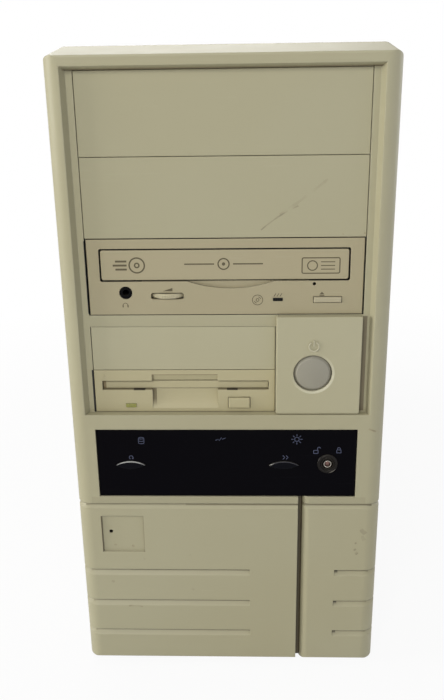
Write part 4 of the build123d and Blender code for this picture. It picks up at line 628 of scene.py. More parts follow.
def conductors(tree, where, look):  # parallel wires of a flat cable, painted lighter along each wire and darker between as shading, with one marked edge
    across = split(tree, where)["X"]
    phase = times(tree, across, 2 * math.pi / look["pitch"])
    wireShading = maths(tree, "MULTIPLY_ADD", maths(tree, "SINE", phase), 0.5, 0.5)
    body = mixColour(tree, wireShading, look["secondColour"], look["colour"])
    edge = maths(tree, "LESS_THAN", across, look["markEdge"])
    return mixColour(tree, edge, body, look["markColour"])


insideFinishes = dict(
    galvanised=dict(
        pattern=spangle, colour=(168, 171, 173), secondColour=(156, 159, 162), tint=(150, 146, 138),
        roughness=0.36, metallic=0.85, wear=0.5, wornColour=(208, 208, 208), grime=0.4, edge=0.25 * mm,
        grainStrength=0.05, hairlines=0.3, scratchColour=(205, 205, 205),
        on=[
            "chassis_frame", "rear_panel", "wide_drive_cage", "small_drive_cage", "psu_case",
            "cd_drive_case", "floppy_drive_case",
        ],
    ),
    bracketSteel=dict(
        colour=(190, 190, 187), tint=(172, 168, 158), roughness=0.3, metallic=0.95, grime=0.4,
        edge=0.2 * mm, hairlines=0.3, scratchColour=(214, 214, 212), on=["slot_covers"],
    ),
    coverPaint=dict(
        colour=(166, 162, 138), tint=(160, 153, 124), roughness=0.48, specular=0.4, edge=0.5 * mm, wear=0.5,
        wornColour=(120, 118, 110), grainScale=900.0, grainStrength=0.35, grainDepth=0.06 * mm, dust=0.3,
        hairlines=0.2, scratchColour=(184, 181, 160), on=["outer_cover"],
    ),
    zincScrew=dict(
        colour=(178, 176, 168), tint=(176, 166, 130), roughness=0.3, metallic=1.0, wear=0.5,
        wornColour=(220, 218, 212), edge=0.15 * mm, grainStrength=0.08, on=["board_standoffs"],
    ),
    chromeWire=dict(
        colour=(205, 205, 205), roughness=0.16, metallic=1.0, wear=0.2, grime=0.3, grainStrength=0.03,
    ),
    castAluminium=dict(
        colour=(150, 152, 155), tint=(136, 137, 138), roughness=0.5, metallic=0.8, wear=0.6,
        wornColour=(196, 197, 198), grainScale=1200.0, grainStrength=0.4, on=["hard_disk", "cpu_heatsink"],
    ),
    boardGreen=dict(
        pattern=traces, colour=(24, 78, 48), secondColour=(44, 106, 66), tint=(30, 70, 44), roughness=0.3,
        edge=0.1 * mm, wear=0.3, wornColour=(150, 150, 100), grime=0.3, on=["display_board"],
    ),
    rubberFoot=dict(
        colour=(34, 33, 32), tint=(52, 49, 45), roughness=0.75, specular=0.25, wornColour=(76, 74, 70),
        grainScale=1400.0, grainStrength=0.4, dust=0.4, on=["feet"],
    ),
    selectorRed=dict(
        colour=(150, 34, 28), tint=(128, 30, 26), roughness=0.4, wornColour=(190, 90, 80),
        on=["voltage_selector"],
    ),
    brightTin=dict(
        colour=(196, 196, 192), tint=(170, 164, 150), roughness=0.24, metallic=1.0, wear=0.3, grime=0.4,
        edge=0.1 * mm, grainStrength=0.04,
    ),
    goldContact=dict(
        colour=(212, 172, 92), tint=(190, 150, 80), roughness=0.25, metallic=1.0, wear=0.2, grime=0.2,
        edge=0.05 * mm, grainStrength=0.03,
    ),
    chipBlack=dict(
        colour=(30, 30, 32), tint=(44, 43, 42), roughness=0.42, specular=0.4, wornColour=(70, 70, 70),
        edge=0.15 * mm, grainScale=5000.0, grainStrength=0.2,
    ),
    socketIvory=dict(
        colour=(214, 206, 184), tint=(198, 186, 156), roughness=0.45, wear=0.3, wornColour=(232, 226, 208),
        grainStrength=0.1,
    ),
    portBlue=dict(
        colour=(36, 52, 92), tint=(30, 42, 74), roughness=0.5, wear=0.3, wornColour=(80, 92, 120),
        grime=0.3,
    ),
    capSleeve=dict(
        colour=(28, 34, 62), tint=(22, 26, 46), roughness=0.35, wear=0.3, wornColour=(70, 76, 96),
        grime=0.2,
    ),
    solderTan=dict(
        colour=(150, 128, 92), tint=(170, 150, 112), roughness=0.4, wear=0.3, grime=0.2, edge=0.05 * mm,
    ),
)
addFinishes(insideFinishes)
ribbonLook = dict(
    pattern=conductors, colour=(158, 160, 163), secondColour=(112, 114, 118), pitch=1.27 * mm,
    markColour=(150, 40, 36), roughness=0.45, edge=0.2 * mm, grime=0.3,
)
for ribbon in ("floppy_ribbon", "disk_ribbon"):
    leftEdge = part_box(ribbon)[0][0] + 1.3 * mm
    finish(ribbon + "Finish", dict(ribbonLook, markEdge=leftEdge, on=[ribbon]))
print("finishes are on the frame's pieces")

# Outlines, in millimetres
planes = dict(front=(0, 2, 1), side=(2, 0, 1), flat=(0, 1, 2))  # which of u, v and depth are x, y and z


def arc(centre, radius, start, end, steps):  # degrees, anticlockwise from +u
    turns = [math.radians(start + (end - start) * i / steps) for i in range(steps + 1)]
    return [(centre[0] + radius * math.cos(t), centre[1] + radius * math.sin(t)) for t in turns]


def circle(centre, radius, steps=32):
    return arc(centre, radius, 0, 360, steps)[:-1]


def roundedBox(low, high, radius, steps=4):
    (u0, v0), (u1, v1) = low, high
    corners = [(u1 - radius, v1 - radius), (u0 + radius, v1 - radius)]
    corners += [(u0 + radius, v0 + radius), (u1 - radius, v0 + radius)]
    return [p for i, c in enumerate(corners) for p in arc(c, radius, 90 * i, 90 * i + 90, steps)]


def roundedAt(at, size, radius, steps=4):  # the same by its middle
    (u, v), (wide, tall) = at, size
    return roundedBox((u - wide / 2, v - tall / 2), (u + wide / 2, v + tall / 2), radius, steps)


def offsetLine(points, distance, closed):
    moved = []
    for i, (u, v) in enumerate(points):
        before = points[i - 1] if closed or i else points[i]
        after = points[(i + 1) % len(points)] if closed or i + 1 < len(points) else points[i]
        along = Vector((after[0] - before[0], after[1] - before[1])).normalized()
        moved.append((u - along.y * distance, v + along.x * distance))
    return moved


class Shape:  # a mesh in the making: u and v run across its plane, depth runs out of it
    def __init__(self, plane="flat"):
        self.bm = bmesh.new()
        self.on(plane)

    def on(self, plane):  # what follows is drawn on this plane
        self.order = planes[plane]
        return self

    def ring(self, outline, depth):
        return [self.bm.verts.new([(u, v, depth)[k] * mm for k in self.order]) for u, v in outline]

    def band(self, first, second):  # faces between two rings, one of which may be a single point
        made = []
        steps = max(len(first), len(second))
        for i in range(steps):
            j = (i + 1) % steps
            around = ((first, i), (first, j), (second, j), (second, i))
            corners = [ring[k % len(ring)] for ring, k in around]
            made.append(self.bm.faces.new(list(dict.fromkeys(corners))))
        return made

    def extrude(self, outline, low, high, holes=()):
        loops = [outline, *holes]
        rings = [[self.ring(loop, depth) for depth in (low, high)] for loop in loops]
        levels = [[v for pair in rings for v in pair[level]] for level in (0, 1)]
        for corners in tessellate_polygon([[Vector((*p, 0)) for p in loop] for loop in loops]):
            for verts in levels:
                self.bm.faces.new([verts[i] for i in corners])
        for pair in rings:
            self.band(*pair)
        return self

    def stroke(self, points, width, low, high, closed=False):  # a drawn line with thickness
        left, right = [offsetLine(points, side * width / 2, closed) for side in (1, -1)]
        if closed:
            return self.extrude(right, low, high, [left])
        return self.extrude(left + right[::-1], low, high)

    def lathe(self, centre, profile, steps=48, closed=False):  # profile of (radius, depth)
        rings = [self.ring(circle(centre, r, steps) if r else [centre], depth) for r, depth in profile]
        for first, second in zip(rings, rings[1:] + rings[:closed]):
            self.band(first, second)
        return self

    def box(self, low, high):
        (u0, v0, d0), (u1, v1, d1) = low, high
        return self.extrude([(u0, v0), (u1, v0), (u1, v1), (u0, v1)], d0, d1)

    def block(self, at, size, low, high, radius=0.6):  # a box with round corners, by its middle
        return self.extrude(roundedAt(at, size, radius, 2), low, high)

    def mesh(self, material=None, smooth=None):  # smooth: angle up to which faces shade as one
        bmesh.ops.recalc_face_normals(self.bm, faces=self.bm.faces)
        made = bpy.data.meshes.new("part")
        self.bm.to_mesh(made)
        self.bm.free()
        if smooth:
            made.shade_smooth()
            made.set_sharp_from_angle(angle=math.radians(smooth))
        if material:
            made.materials.append(finishes[material])
        return made


def joinMeshes(meshes):  # several meshes as one, each with its material
    bm = bmesh.new()
    joined = bpy.data.meshes.new("part")
    for mesh in meshes:
        first = len(bm.faces)
        bm.from_mesh(mesh)
        bm.faces.ensure_lookup_table()
        for face in bm.faces[first:]:
            face.material_index += len(joined.materials)
        for material in mesh.materials:
            joined.materials.append(material)
    bm.to_mesh(joined)
    bm.free()
    return joined


def addPiece(name, mesh, body, stands=None, bevel=None):  # stands: the CAD piece it stands for
    if isinstance(mesh, list):
        mesh = joinMeshes(mesh)
    mesh.name = name
    piece = addObject(name, mesh)
    if bevel:
        soft = piece.modifiers.new("softEdges", "BEVEL")
        soft.width = bevel * mm
        soft.segments = 2
        soft.limit_method = "ANGLE"
        soft.angle_limit = math.radians(40)
    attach(piece, body)
    if stands:
        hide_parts(stands)


def plain(holder):  # an object's final shape as a mesh of its own; the object goes
    made = bpy.data.meshes.new_from_object(holder.evaluated_get(bpy.context.evaluated_depsgraph_get()))
    bpy.data.objects.remove(holder)
    return made


def runTree(tree, mesh, **values):  # the mesh that a Geometry Nodes tree makes of a shape
    holder = addObject("copies", mesh)
    modifier = holder.modifiers.new("grow", "NODES")
    modifier.node_group = tree
    for item in tree.interface.items_tree:
        if item.in_out == "INPUT" and item.name in values:
            modifier[item.identifier] = values[item.name]
    return plain(holder)


def makeCopies(tree, given, points, **turn):  # the shape on each point, placed, made real and painted
    links = dict(Points=points, Instance=given["Geometry"], **turn)
    copies = node(tree, "GeometryNodeInstanceOnPoints", links).outputs[0]
    links = dict(Geometry=copies, Translation=given["Centre"], Rotation=given["Tilt"])
    placed = node(tree, "GeometryNodeTransform", links).outputs[0]
    real = node(tree, "GeometryNodeRealizeInstances", {0: placed}).outputs[0]
    links = dict(Geometry=real, Material=given["Material"])
    return [node(tree, "GeometryNodeSetMaterial", links).outputs[0]]


def ringCopies(tree, given):  # round a circle in the XY plane, each turned with it
    points = node(tree, "GeometryNodeMeshCircle", {"Vertices": given["Count"], "Radius": given["Radius"]})
    step = maths(tree, "DIVIDE", 2 * math.pi, given["Count"])
    index = node(tree, "GeometryNodeInputIndex").outputs[0]
    turn = node(tree, "CombineXYZ", {2: times(tree, index, step)}).outputs[0]
    return makeCopies(tree, given, points.outputs[0], Rotation=turn)


def gridCopies(tree, given):  # on a grid in the XY plane, a little out of line where Loose says so
    step = split(tree, given["Step"])
    counts = given["Across"], given["Up"]
    spans = [times(tree, maths(tree, "SUBTRACT", counts[k], 1.0), step[k]) for k in (0, 1)]
    grid = node(tree, "GeometryNodeMeshGrid", dict(enumerate((*spans, *counts)))).outputs[0]
    links = {0: (-1, -1, 0), 1: (1, 1, 0), "Seed": given["Seed"]}
    shift = node(tree, "FunctionNodeRandomValue", links, data_type="FLOAT_VECTOR").outputs[0]
    loose = node(tree, "VectorMath", {0: shift, "Scale": given["Loose"]}, operation="SCALE").outputs[0]
    moved = node(tree, "GeometryNodeSetPosition", {"Geometry": grid, "Offset": loose}).outputs[0]
    return makeCopies(tree, given, moved)


def makeCopyTree(name, build, **inputs):
    shared = dict(Centre=zero, Tilt=zero, Material="Material")
    shape = dict(Geometry="Geometry")
    return makeGroup("Geometry", name, build, dict(shape, **inputs, **shared), shape)


ringOfCopies = makeCopyTree("ringOfCopies", ringCopies, Count=12, Radius=0.01)
gridOfCopies = makeCopyTree("gridOfCopies", gridCopies, Across=2, Up=1, Step=(mm, mm, 0), Loose=0.0, Seed=1)
tilts = dict(
    up=(0, 0, 0),  # a shape drawn along +Z stays so
    back=(-math.pi / 2, 0, 0),  # its +Z runs to the rear, its +Y down
    right=(0, math.pi / 2, 0),  # its +Z runs to +X, its +X down
    left=(0, -math.pi / 2, 0),  # its +Z runs to -X, its +X up
    front=(math.pi / 2, 0, 0),  # its +Z runs to the front, its +Y up
)


def ringOf(mesh, count, radius, centre, tilt, material):
    places = dict(Radius=radius * mm, Centre=inMetres(centre), Tilt=list(tilts[tilt]))
    return runTree(ringOfCopies, mesh, Count=count, Material=finishes[material], **places)


def gridOf(mesh, count, step, centre, tilt, material, loose=0.0, seed=1):
    places = dict(Step=inMetres((*step, 0.0)), Centre=inMetres(centre), Tilt=list(tilts[tilt]))
    counts = dict(Across=count[0], Up=count[1], Seed=seed)
    return runTree(
        gridOfCopies, mesh, Loose=loose * mm, Material=finishes[material], **places, **counts
    )


# Printed and embossed marks, each drawn in units of its size round its middle
class Pen:
    def __init__(self, shape, at, size, width, low, high):
        self.shape, self.at, self.size, self.width, self.depths = shape, at, size, width, (low, high)

    def spots(self, points):
        return [(self.at[0] + u * self.size, self.at[1] + v * self.size) for u, v in points]

    def line(self, points, closed=False, weight=1.0):
        self.shape.stroke(self.spots(points), self.width * weight, *self.depths, closed)

    def fill(self, points):
        self.shape.extrude(self.spots(points), *self.depths)


def headphones(pen):
    pen.line(arc((0, -0.1), 0.42, 0, 180, 14))
    for side in (-0.42, 0.42):
        pen.fill(roundedBox((side - 0.09, -0.45), (side + 0.09, -0.02), 0.06))


def disc(pen):
    for radius, steps in ((0.5, 32), (0.14, 20)):
        pen.line(circle(zero, radius, steps), True)
    for start in (20, 200):
        pen.line(arc(zero, 0.32, start, start + 55, 8))


def eject(pen):
    pen.fill([(-0.5, -0.1), (0.5, -0.1), (0, 0.45)])
    pen.fill(roundedBox((-0.5, -0.42), (0.5, -0.24), 0.05 / pen.size))


def wedge(pen):
    pen.fill([(-0.5, -0.17), (0.5, -0.17), (0.5, 0.17)])


def ticks(pen):
    for u in (-0.3, 0, 0.3):
        pen.line([(u - 0.1, -0.16), (u + 0.1, 0.16)])


def speedDisc(pen):
    for radius, steps in ((0.24, 32), (0.07, 16)):
        pen.line(circle((0.26, 0), radius, steps), True)
    for v, start in ((-0.13, -0.42), (0, -0.5), (0.13, -0.42)):
        pen.line([(start, v), (-0.06, v)], weight=1.3)


def rule(pen):
    for side in (-1, 1):
        pen.line([(side * 0.12, 0), (side * 0.5, 0)])
    pen.line(circle(zero, 0.07, 28), True)
    pen.fill(circle(zero, 0.022, 16))


def framedDisc(pen):
    pen.line(roundedBox((-0.5, -0.21), (0.5, 0.21), 0.8 / pen.size), True)
    pen.line(circle((-0.225, 0), 0.13, 24), True)
    for v in (-0.1, 0, 0.1):
        pen.line([(0, v), (0.375, v)], weight=0.8)


def storedDisk(pen):
    for v, start, steps in ((-0.34, 180, 9), (0, 180, 9), (0.34, 0, 18)):
        rim = [(0.36 * x, v + 0.12 * y) for x, y in arc(zero, 1, start, 360, steps)]
        pen.line(rim if start else rim[:-1], closed=not start)
    for side in (-0.36, 0.36):
        pen.line([(side, -0.34), (side, 0.34)])


def pulse(pen):
    pen.line([(-0.5, -0.12), (-0.22, 0.02), (-0.12, -0.16), (0.1, 0.18), (0.2, 0.0), (0.5, 0.16)])


def sun(pen):
    pen.line(circle(zero, 0.2, 20), True)
    for k in range(8):
        turn = math.radians(45 * k)
        pen.line([(r * math.cos(turn), r * math.sin(turn)) for r in (0.3, 0.5)])


def padlock(pen, swing=0.0):
    pen.line(roundedBox((-0.3, -0.42), (0.3, 0.05), 0.25 / pen.size), True)
    bow = arc((swing, 0.34 if swing else 0.22), 0.19, 180, 0, 10)
    pen.line([(swing - 0.19, 0.06), *bow] + ([] if swing else [(0.19, 0.06)]))


def openPadlock(pen):
    padlock(pen, swing=0.42)


def restart(pen):
    pen.line(arc(zero, 0.36, -30, 250, 20))
    u, v = 0.36 * math.cos(math.radians(30)), -0.18
    pen.fill([(u - 0.22, v + 0.04), (u + 0.2, v + 0.1), (u + 0.02, v - 0.24)])


def chevrons(pen):
    for u in (-0.35, 0.1):
        pen.line([(u, 0.3), (u + 0.28, 0), (u, -0.3)])


def power(pen):
    pen.line(arc(zero, 0.42, 120, 420, 26))
    pen.line([(0, 0.02), (0, 0.56)])


def arrow(pen):
    pen.fill([(-0.4, 0), (0.4, 0), (0, 0.5)])
    pen.fill([(-0.12, -0.5), (0.12, -0.5), (0.12, 0), (-0.12, 0)])


drivePrint = dict(face=frontOf("cd_faceplate"), sink=0.05, rise=0.1, ink="driveInk")
markSets = dict(  # marks of (drawing, place, size, line width)
    driveMarks=dict(
        drivePrint, body="case",
        marks=[
            (headphones, (-54.4, 236.0), 3.2, 0.32),
            (wedge, (-31.2, 244.5), 5.4, 0.3),
            (disc, (17.4, 238.4), 5.6, 0.34),
            (ticks, (28.4, 241.2), 5.4, 0.34),
            (eject, (52.0, 241.6), 2.7, 0.3),
        ],
    ),
    trayMarks=dict(
        drivePrint, body="disc_tray", face=frontOf("cd_tray_front"),
        marks=[
            (speedDisc, (-51.6, 258.0), 17.0, 0.8),
            (rule, (-0.7, 258.5), 42.0, 0.7),
            (framedDisc, (51.1, 257.3), 20.0, 0.6),
        ],
    ),
    panelMarks=dict(
        drivePrint, body="case", face=frontOf("display_panel"), ink="panelInk",
        marks=[
            (storedDisk, (-49.2, 156.2), 4.4, 0.36),
            (pulse, (-3.8, 157.0), 5.8, 0.36),
            (sun, (39.7, 157.0), 6.4, 0.42),
            (openPadlock, (50.6, 149.8), 4.2, 0.42),
            (padlock, (63.7, 150.1), 4.0, 0.42),
            (restart, (-55.5, 145.4), 3.0, 0.4),
            (chevrons, (33.3, 145.5), 4.0, 0.45),
        ],
    ),
    powerSymbol=dict(
        face=frontOf("switch_panel"), sink=0.6, rise=0.2, ink="raisedPlastic", body="case", bevel=0.12,
        marks=[(power, (48.1, 213.0), 6.4, 0.8)],
    ),
    diskArrow=dict(
        face=frontOf("floppy_faceplate"), sink=0.15, rise=0.1, ink="floppyPlastic", body="case", bevel=0.05,
        slot="drive_plastic",
        marks=[(arrow, (-68.7, 193.6), 3.2, 0.5), (eject, (11.4, 178.2), 2.4, 0.5)],
    ),
)
for name, look in markSets.items():
    shape = Shape("front")
    for draw, at, size, width in look["marks"]:
        draw(Pen(shape, at, size, width, look["face"] - look["sink"], look["face"] + look["rise"]))
    addPiece(name, shape.mesh(look["ink"]), look["body"], bevel=look.get("bevel"))
print("marks are on the front")

# Knurled volume wheel, lying flat in its slot
wheelLook = dict(
    centre=(-31.4, -190.8), height=240.8, radius=11.0, thickness=2.6, ridges=72, ridgeDepth=0.3,
)


def addVolumeWheel(look):
    half, depth = look["thickness"] / 2, look["ridgeDepth"]
    root = look["radius"] - depth
    low, high = look["height"] - half, look["height"] + half
    profile = [(0, low), (root - 0.4, low), (root, low + 0.4)]
    profile += [(root, high - 0.4), (root - 0.4, high), (0, high)]
    core = Shape().lathe(look["centre"], profile, look["ridges"]).mesh("wheelPlastic", 35)
    width = 2 * math.pi * look["radius"] / look["ridges"] * 0.27
    tooth = [(-0.4, -width), (depth, -width * 0.5), (depth, width * 0.5), (-0.4, width)]
    tooth = Shape().extrude(tooth, 0.35 - half, half - 0.35).mesh()
    middle = (*look["centre"], look["height"])
    ridges = ringOf(tooth, look["ridges"], root, middle, "up", "wheelPlastic")
    addPiece("volumeWheel", core, "volume", "cd_volume_wheel")
    addPiece("volumeWheelRidges", ridges, "volume")


addVolumeWheel(wheelLook)

# Lamps of the two drives
driveLamps = dict(
    busyLamp=dict(at=(28.35, 238.65), size=(5.2, 1.7), material="busyBlack", stands="drive_lamps"),
    diskLamp=dict(at=(-54.25, 176.35), size=(5.9, 2.3), material="lampLens", stands=None),
)
lampBuild = dict(proud=0.3, length=3.0, corner=0.35, ribs=(-0.25, 0, 0.25), ribWidth=0.4, ribRise=0.15)
for name, look in driveLamps.items():
    (u, v), (wide, tall) = look["at"], look["size"]
    front, half = frontOf("floppy_faceplate") - lampBuild["proud"], lampBuild["ribWidth"] / 2
    outline = roundedAt(look["at"], look["size"], lampBuild["corner"])
    lamp = Shape("front").extrude(outline, front, front + lampBuild["length"])
    for share in lampBuild["ribs"]:
        rib, ribFront = u + wide * share, front - lampBuild["ribRise"]
        lamp.box((rib - half, v - tall * 0.35, ribFront), (rib + half, v + tall * 0.35, front + 0.2))
    addPiece(name, lamp.mesh(look["material"]), "case", look["stands"], bevel=0.12)

# Key lock: rounded barrel, turning plug with a ring slot and centre pin
lockLook = dict(centre=(57.4, 141.4), barrelRadius=6.0, bore=4.1, front=-205.0, back=-181.0)


def glint(tree, where, look):  # painted highlight on one side of the rim
    (u, v), turn = look["centre"], math.radians(look["glintAt"])
    place = vector(tree, "SUBTRACT", where, (u * mm, 0, v * mm))
    out = vector(tree, "DOT_PRODUCT", place, (math.cos(turn), 0, math.sin(turn)))
    lit = ramp(tree, out, look["glintFrom"] * mm, (look["glintFrom"] + 0.4) * mm)
    return mixColour(tree, lit, look["colour"], look["secondColour"])


lockFinishes = dict(
    # lockDark carries a painted highlight at its lower right, in secondColour
    lockDark=dict(
        pattern=glint, centre=lockLook["centre"], glintAt=-58, glintFrom=5.0, colour=(14, 11, 8),
        secondColour=(150, 144, 132), tint=(28, 22, 16), roughness=0.35, metallic=0.3, specular=0.2,
        wornColour=(92, 82, 66), grime=0.4, edge=0.25 * mm,
    ),
    lockBright=dict(
        colour=(196, 190, 180), tint=(170, 160, 144), roughness=0.18, metallic=1.0, wear=0.3, edge=0.1 * mm,
    ),
    lockPin=dict(
        colour=(116, 84, 76), tint=(70, 50, 44), drift=0.7, driftScale=500.0, roughness=0.4, metallic=0.4,
        grime=0.4, edge=0.1 * mm,
    ),
)
addFinishes(lockFinishes)


def addKeyLock(look):
    outer, bore, front, back = take(look, "barrelRadius bore front back")
    face, rim = frontOf("key_lock_cylinder"), bore - 0.12
    barrel = [(bore, back), (outer - 0.9, back), (outer - 0.9, front + 1.4), (outer, front + 1.3)]
    barrel += [(outer - 0.05, front + 0.75), (outer - 0.5, front + 0.2), (outer - 1.0, front)]
    barrel += [(bore + 0.35, front + 0.05), (bore, front + 0.4)]
    plug = [(0, back + 2), (rim, back + 2), (rim, face + 0.25), (rim - 0.2, face), (3.1, face)]
    plug += [(3.0, face + 2.6), (0, face + 2.6)]
    ring = [(1.75, 2.55), (2.25, 2.55), (2.25, 0.35), (2.1, 0.1), (1.85, 0.1), (1.75, 0.3)]
    pin = [(0, 2.55), (1.25, 2.55), (1.25, 0.75), (0.9, 0.5), (0, 0.45)]
    ring, pin = [[(radius, face + depth) for radius, depth in profile] for profile in (ring, pin)]
    for name, profile, steps, closed, material, body, stands in (
        ("lockBarrel", barrel, 64, True, "lockDark", "case", "key_lock_barrel"),
        ("lockPlug", plug, 64, False, "lockDark", "lock", "key_lock_cylinder"),
        ("lockRing", ring, 48, True, "lockBright", "lock", None),
        ("lockPin", pin, 40, False, "lockPin", "lock", None),
    ):
        mesh = Shape("front").lathe(look["centre"], profile, steps, closed).mesh(material, 40)
        addPiece(name, mesh, body, stands)


addKeyLock(lockLook)


# Lens-shaped buttons: dark gloss, with a painted highlight along the upper edge
def paintedSheen(tree, where, look):  # painted highlight, bright in the middle or at one end, with both tips left dark
    def fromHere(x, near, far):
        away = maths(tree, "ABSOLUTE", maths(tree, "SUBTRACT", split(tree, where)["X"], x * mm))
        return ramp(tree, away, near * mm, far * mm)

    fade = fromHere(look["brightAt"], *look["fade"])
    tip = fromHere(look["centre"][0], look["tips"], look["tips"] + 0.4)
    rim = mixColour(tree, fade, look["colour"], look["secondColour"])
    return mixColour(tree, tip, rim, tone(12, 11, 14))


sheenLook = dict(
    pattern=paintedSheen, drift=0.0, roughness=0.3, specular=0.3, edge=0.05 * mm, grime=0.0, tips=8.0,
)
lensLooks = dict(
    resetLens=dict(
        centre=(-55.9, 140.6), body="reset", node="reset_button", colour=(170, 170, 166),
        secondColour=(88, 88, 90), brightAt=-55.9, fade=(5.0, 8.5),
    ),
    turboLens=dict(
        centre=(32.5, 140.6), body="turbo", node="turbo_button", colour=(140, 138, 132),
        secondColour=(46, 45, 50), brightAt=24.6, fade=(0.8, 2.6),
    ),
)
lensCollar = dict(width=2.4, setBack=7.0, depth=1.0)


def lensOutline(centre, wide, tall, steps=20):  # two shallow arcs that meet in pointed tips
    radius = (wide * wide + tall * tall) / (4 * tall)
    half = math.degrees(math.asin(wide / 2 / radius))
    upper = arc((centre[0], centre[1] + tall / 2 - radius), radius, 90 - half, 90 + half, steps)
    lower = arc((centre[0], centre[1] - tall / 2 + radius), radius, 270 - half, 270 + half, steps)
    return upper[:-1] + lower[:-1]


def addLens(name, look):
    low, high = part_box(look["node"])
    collar = lensCollar["width"]
    wide, tall = (high[0] - low[0]) / mm - collar, (high[2] - low[2]) / mm - collar
    front, back = low[1] / mm, high[1] / mm
    collarFront = front + lensCollar["setBack"]
    collarBack = collarFront + lensCollar["depth"]
    layers = [  # less width, less height, depth
        (0, 0, back),
        (0, 0, collarBack),
        (-collar, -collar, collarBack),
        (-collar, -collar, collarFront),
        (0, 0, collarFront),
        (0, 0, front + 0.5),
        (0.5, 0.35, front + 0.12),
        (1.3, 0.9, front),
        (wide / 2, tall / 1.4, front + 0.1),
    ]
    # rings whose upper half wears the painted highlight
    sheenLevels = (5, 6)
    lens = Shape("front")
    rings = [lens.ring(lensOutline(look["centre"], wide - u, tall - v), depth) for u, v, depth in layers]
    for level, (first, second) in enumerate(zip(rings, rings[1:])):
        for i, face in enumerate(lens.band(first, second)):
            face.material_index = int(level in sheenLevels and i < len(first) // 2)
    for cap in (rings[-1], rings[0][::-1]):
        lens.bm.faces.new(cap)
    mesh = lens.mesh("buttonGloss", 30)
    finish(name + "Edge", dict(sheenLook, **look))
    mesh.materials.append(finishes[name + "Edge"])
    addPiece(name, mesh, look["body"], look["node"])


for name, look in lensLooks.items():
    addLens(name, look)
print("lamps, lock, wheel and lens buttons are made")

# Pan-head screws with a cross recess, the head along +Z from the seat at zero
screwLook = dict(radius=3.2, height=2.0, dome=0.55, arm=1.7, armWidth=0.62, recess=0.9)


def screwMesh(look):
    outer, height = look["radius"], look["height"]
    top, floor, shoulder = outer * 0.74, height - look["recess"], (outer * 0.93, height - 0.25)
    profile = [(0, 0), (outer, 0), (outer, height - look["dome"]), shoulder, (top, floor), (0, floor)]
    a, w = look["arm"], look["armWidth"] / 2
    cross = [(a, -w), (a, w), (w, w), (w, a), (-w, a), (-w, w)]
    cross += [(-a, w), (-a, -w), (-w, -w), (-w, -a), (w, -a), (w, -w)]
    screw = Shape().lathe(zero[:2], profile, 24)
    screw.extrude(circle(zero, shoulder[0], 24), floor, shoulder[1], [cross])
    return screw.extrude(circle(zero, top, 24), floor, height, [cross]).mesh(smooth=30)


screwShape = screwMesh(screwLook)
thread = [p for k in range(9) for p in ((1.6, -0.4 - k * 0.6), (1.3, -0.7 - k * 0.6))]
shankShape = Shape().lathe(zero[:2], [(0, 0.1), *thread, (0, -6.0)], 16).mesh(smooth=30)
coverLow, coverHigh = [[v / mm for v in corner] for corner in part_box("cover_screws")]
coverSpans = [coverHigh[k] - coverLow[k] - 2 * screwLook["radius"] for k in (0, 2)]
coverStep = (coverSpans[0], coverSpans[1] / 2)
coverMiddle = (0, coverHigh[1] - screwLook["height"], (coverLow[2] + coverHigh[2]) / 2)
coverScrews = [
    gridOf(mesh, (2, 3), coverStep, coverMiddle, "back", "zincScrew") for mesh in (screwShape, shankShape)
]
addPiece("coverScrews", coverScrews, "cover", "cover_screws")

slotPitch, topSlot, slotCount = 20.32, 218.0, 7
middleSlot = topSlot - slotPitch * (slotCount - 1) / 2
driveScrews = [  # count, step, middle, way
    ((1, 2), (1, 76.0), (74.3, -88.0, 251.25), "right"),
    ((1, 2), (1, 76.0), (-74.3, -88.0, 251.25), "left"),
    ((2, 2), (29.45, 76.0), (28.45, -88.0, 170.425), "right"),
    ((2, 2), (29.45, 76.0), (-75.75, -88.0, 170.425), "left"),
    ((1, slotCount), (1, slotPitch), (-34.9, 198.1, middleSlot), "front"),
]
driveHeads = [gridOf(screwShape, *row, "zincScrew") for row in driveScrews]
addPiece("driveScrews", driveHeads, "case", "drive_screws")


# Fans with curved blades
def bladeMesh(look, steps=8, spans=5):
    hub, tip, depth, (start, climb, belly) = take(look, "hub tip depth rise")
    shape = Shape()
    lower, upper = [], []
    for rows, lift in ((lower, 0.0), (upper, look["wall"])):
        for i in range(spans + 1):
            radius = hub - 0.6 + (tip - hub + 0.6) * i / spans
            row = []
            for j in range(steps + 1):
                share = j / steps
                turn = math.radians(look["sweep"] * i / spans + look["chord"] * (share - 0.5))
                rise = depth * (start + climb * share + belly * math.sin(math.pi * share)) + lift
                row += shape.ring([(radius * math.cos(turn), radius * math.sin(turn))], rise)
            rows.append(row)
    for i in range(spans):
        for j in range(steps):
            shape.bm.faces.new((lower[i][j], lower[i][j + 1], lower[i + 1][j + 1], lower[i + 1][j]))
            shape.bm.faces.new((upper[i][j], upper[i + 1][j], upper[i + 1][j + 1], upper[i][j + 1]))
    rim = [(0, j) for j in range(steps)] + [(i, steps) for i in range(spans)]
    rim += [(spans, j) for j in range(steps, 0, -1)] + [(i, 0) for i in range(spans, 0, -1)]
    shape.band([lower[i][j] for i, j in rim], [upper[i][j] for i, j in rim])
    return shape.mesh(smooth=50)


fanLook = dict(  # rise: a blade's start, climb and belly, as shares of the depth
    axle=2.5, reach=3.0, sweep=10, chord=44, blades=7, rise=(0.06, 0.8, 0.1),
)
fanLooks = dict(
    supplyFan=dict(
        fanLook, node="psu_fan", body="supply_fan", at=(-30, 176.3, 317.8), tilt="back", hub=17.0, tip=36.6,
        depth=20.4, wall=1.1,
    ),
    processorFan=dict(
        fanLook, node="cpu_fan", body="processor_fan", at=(53.8, -18, 74), tilt="left", hub=8.0, tip=17.2,
        depth=6.4, wall=0.7,
    ),
)


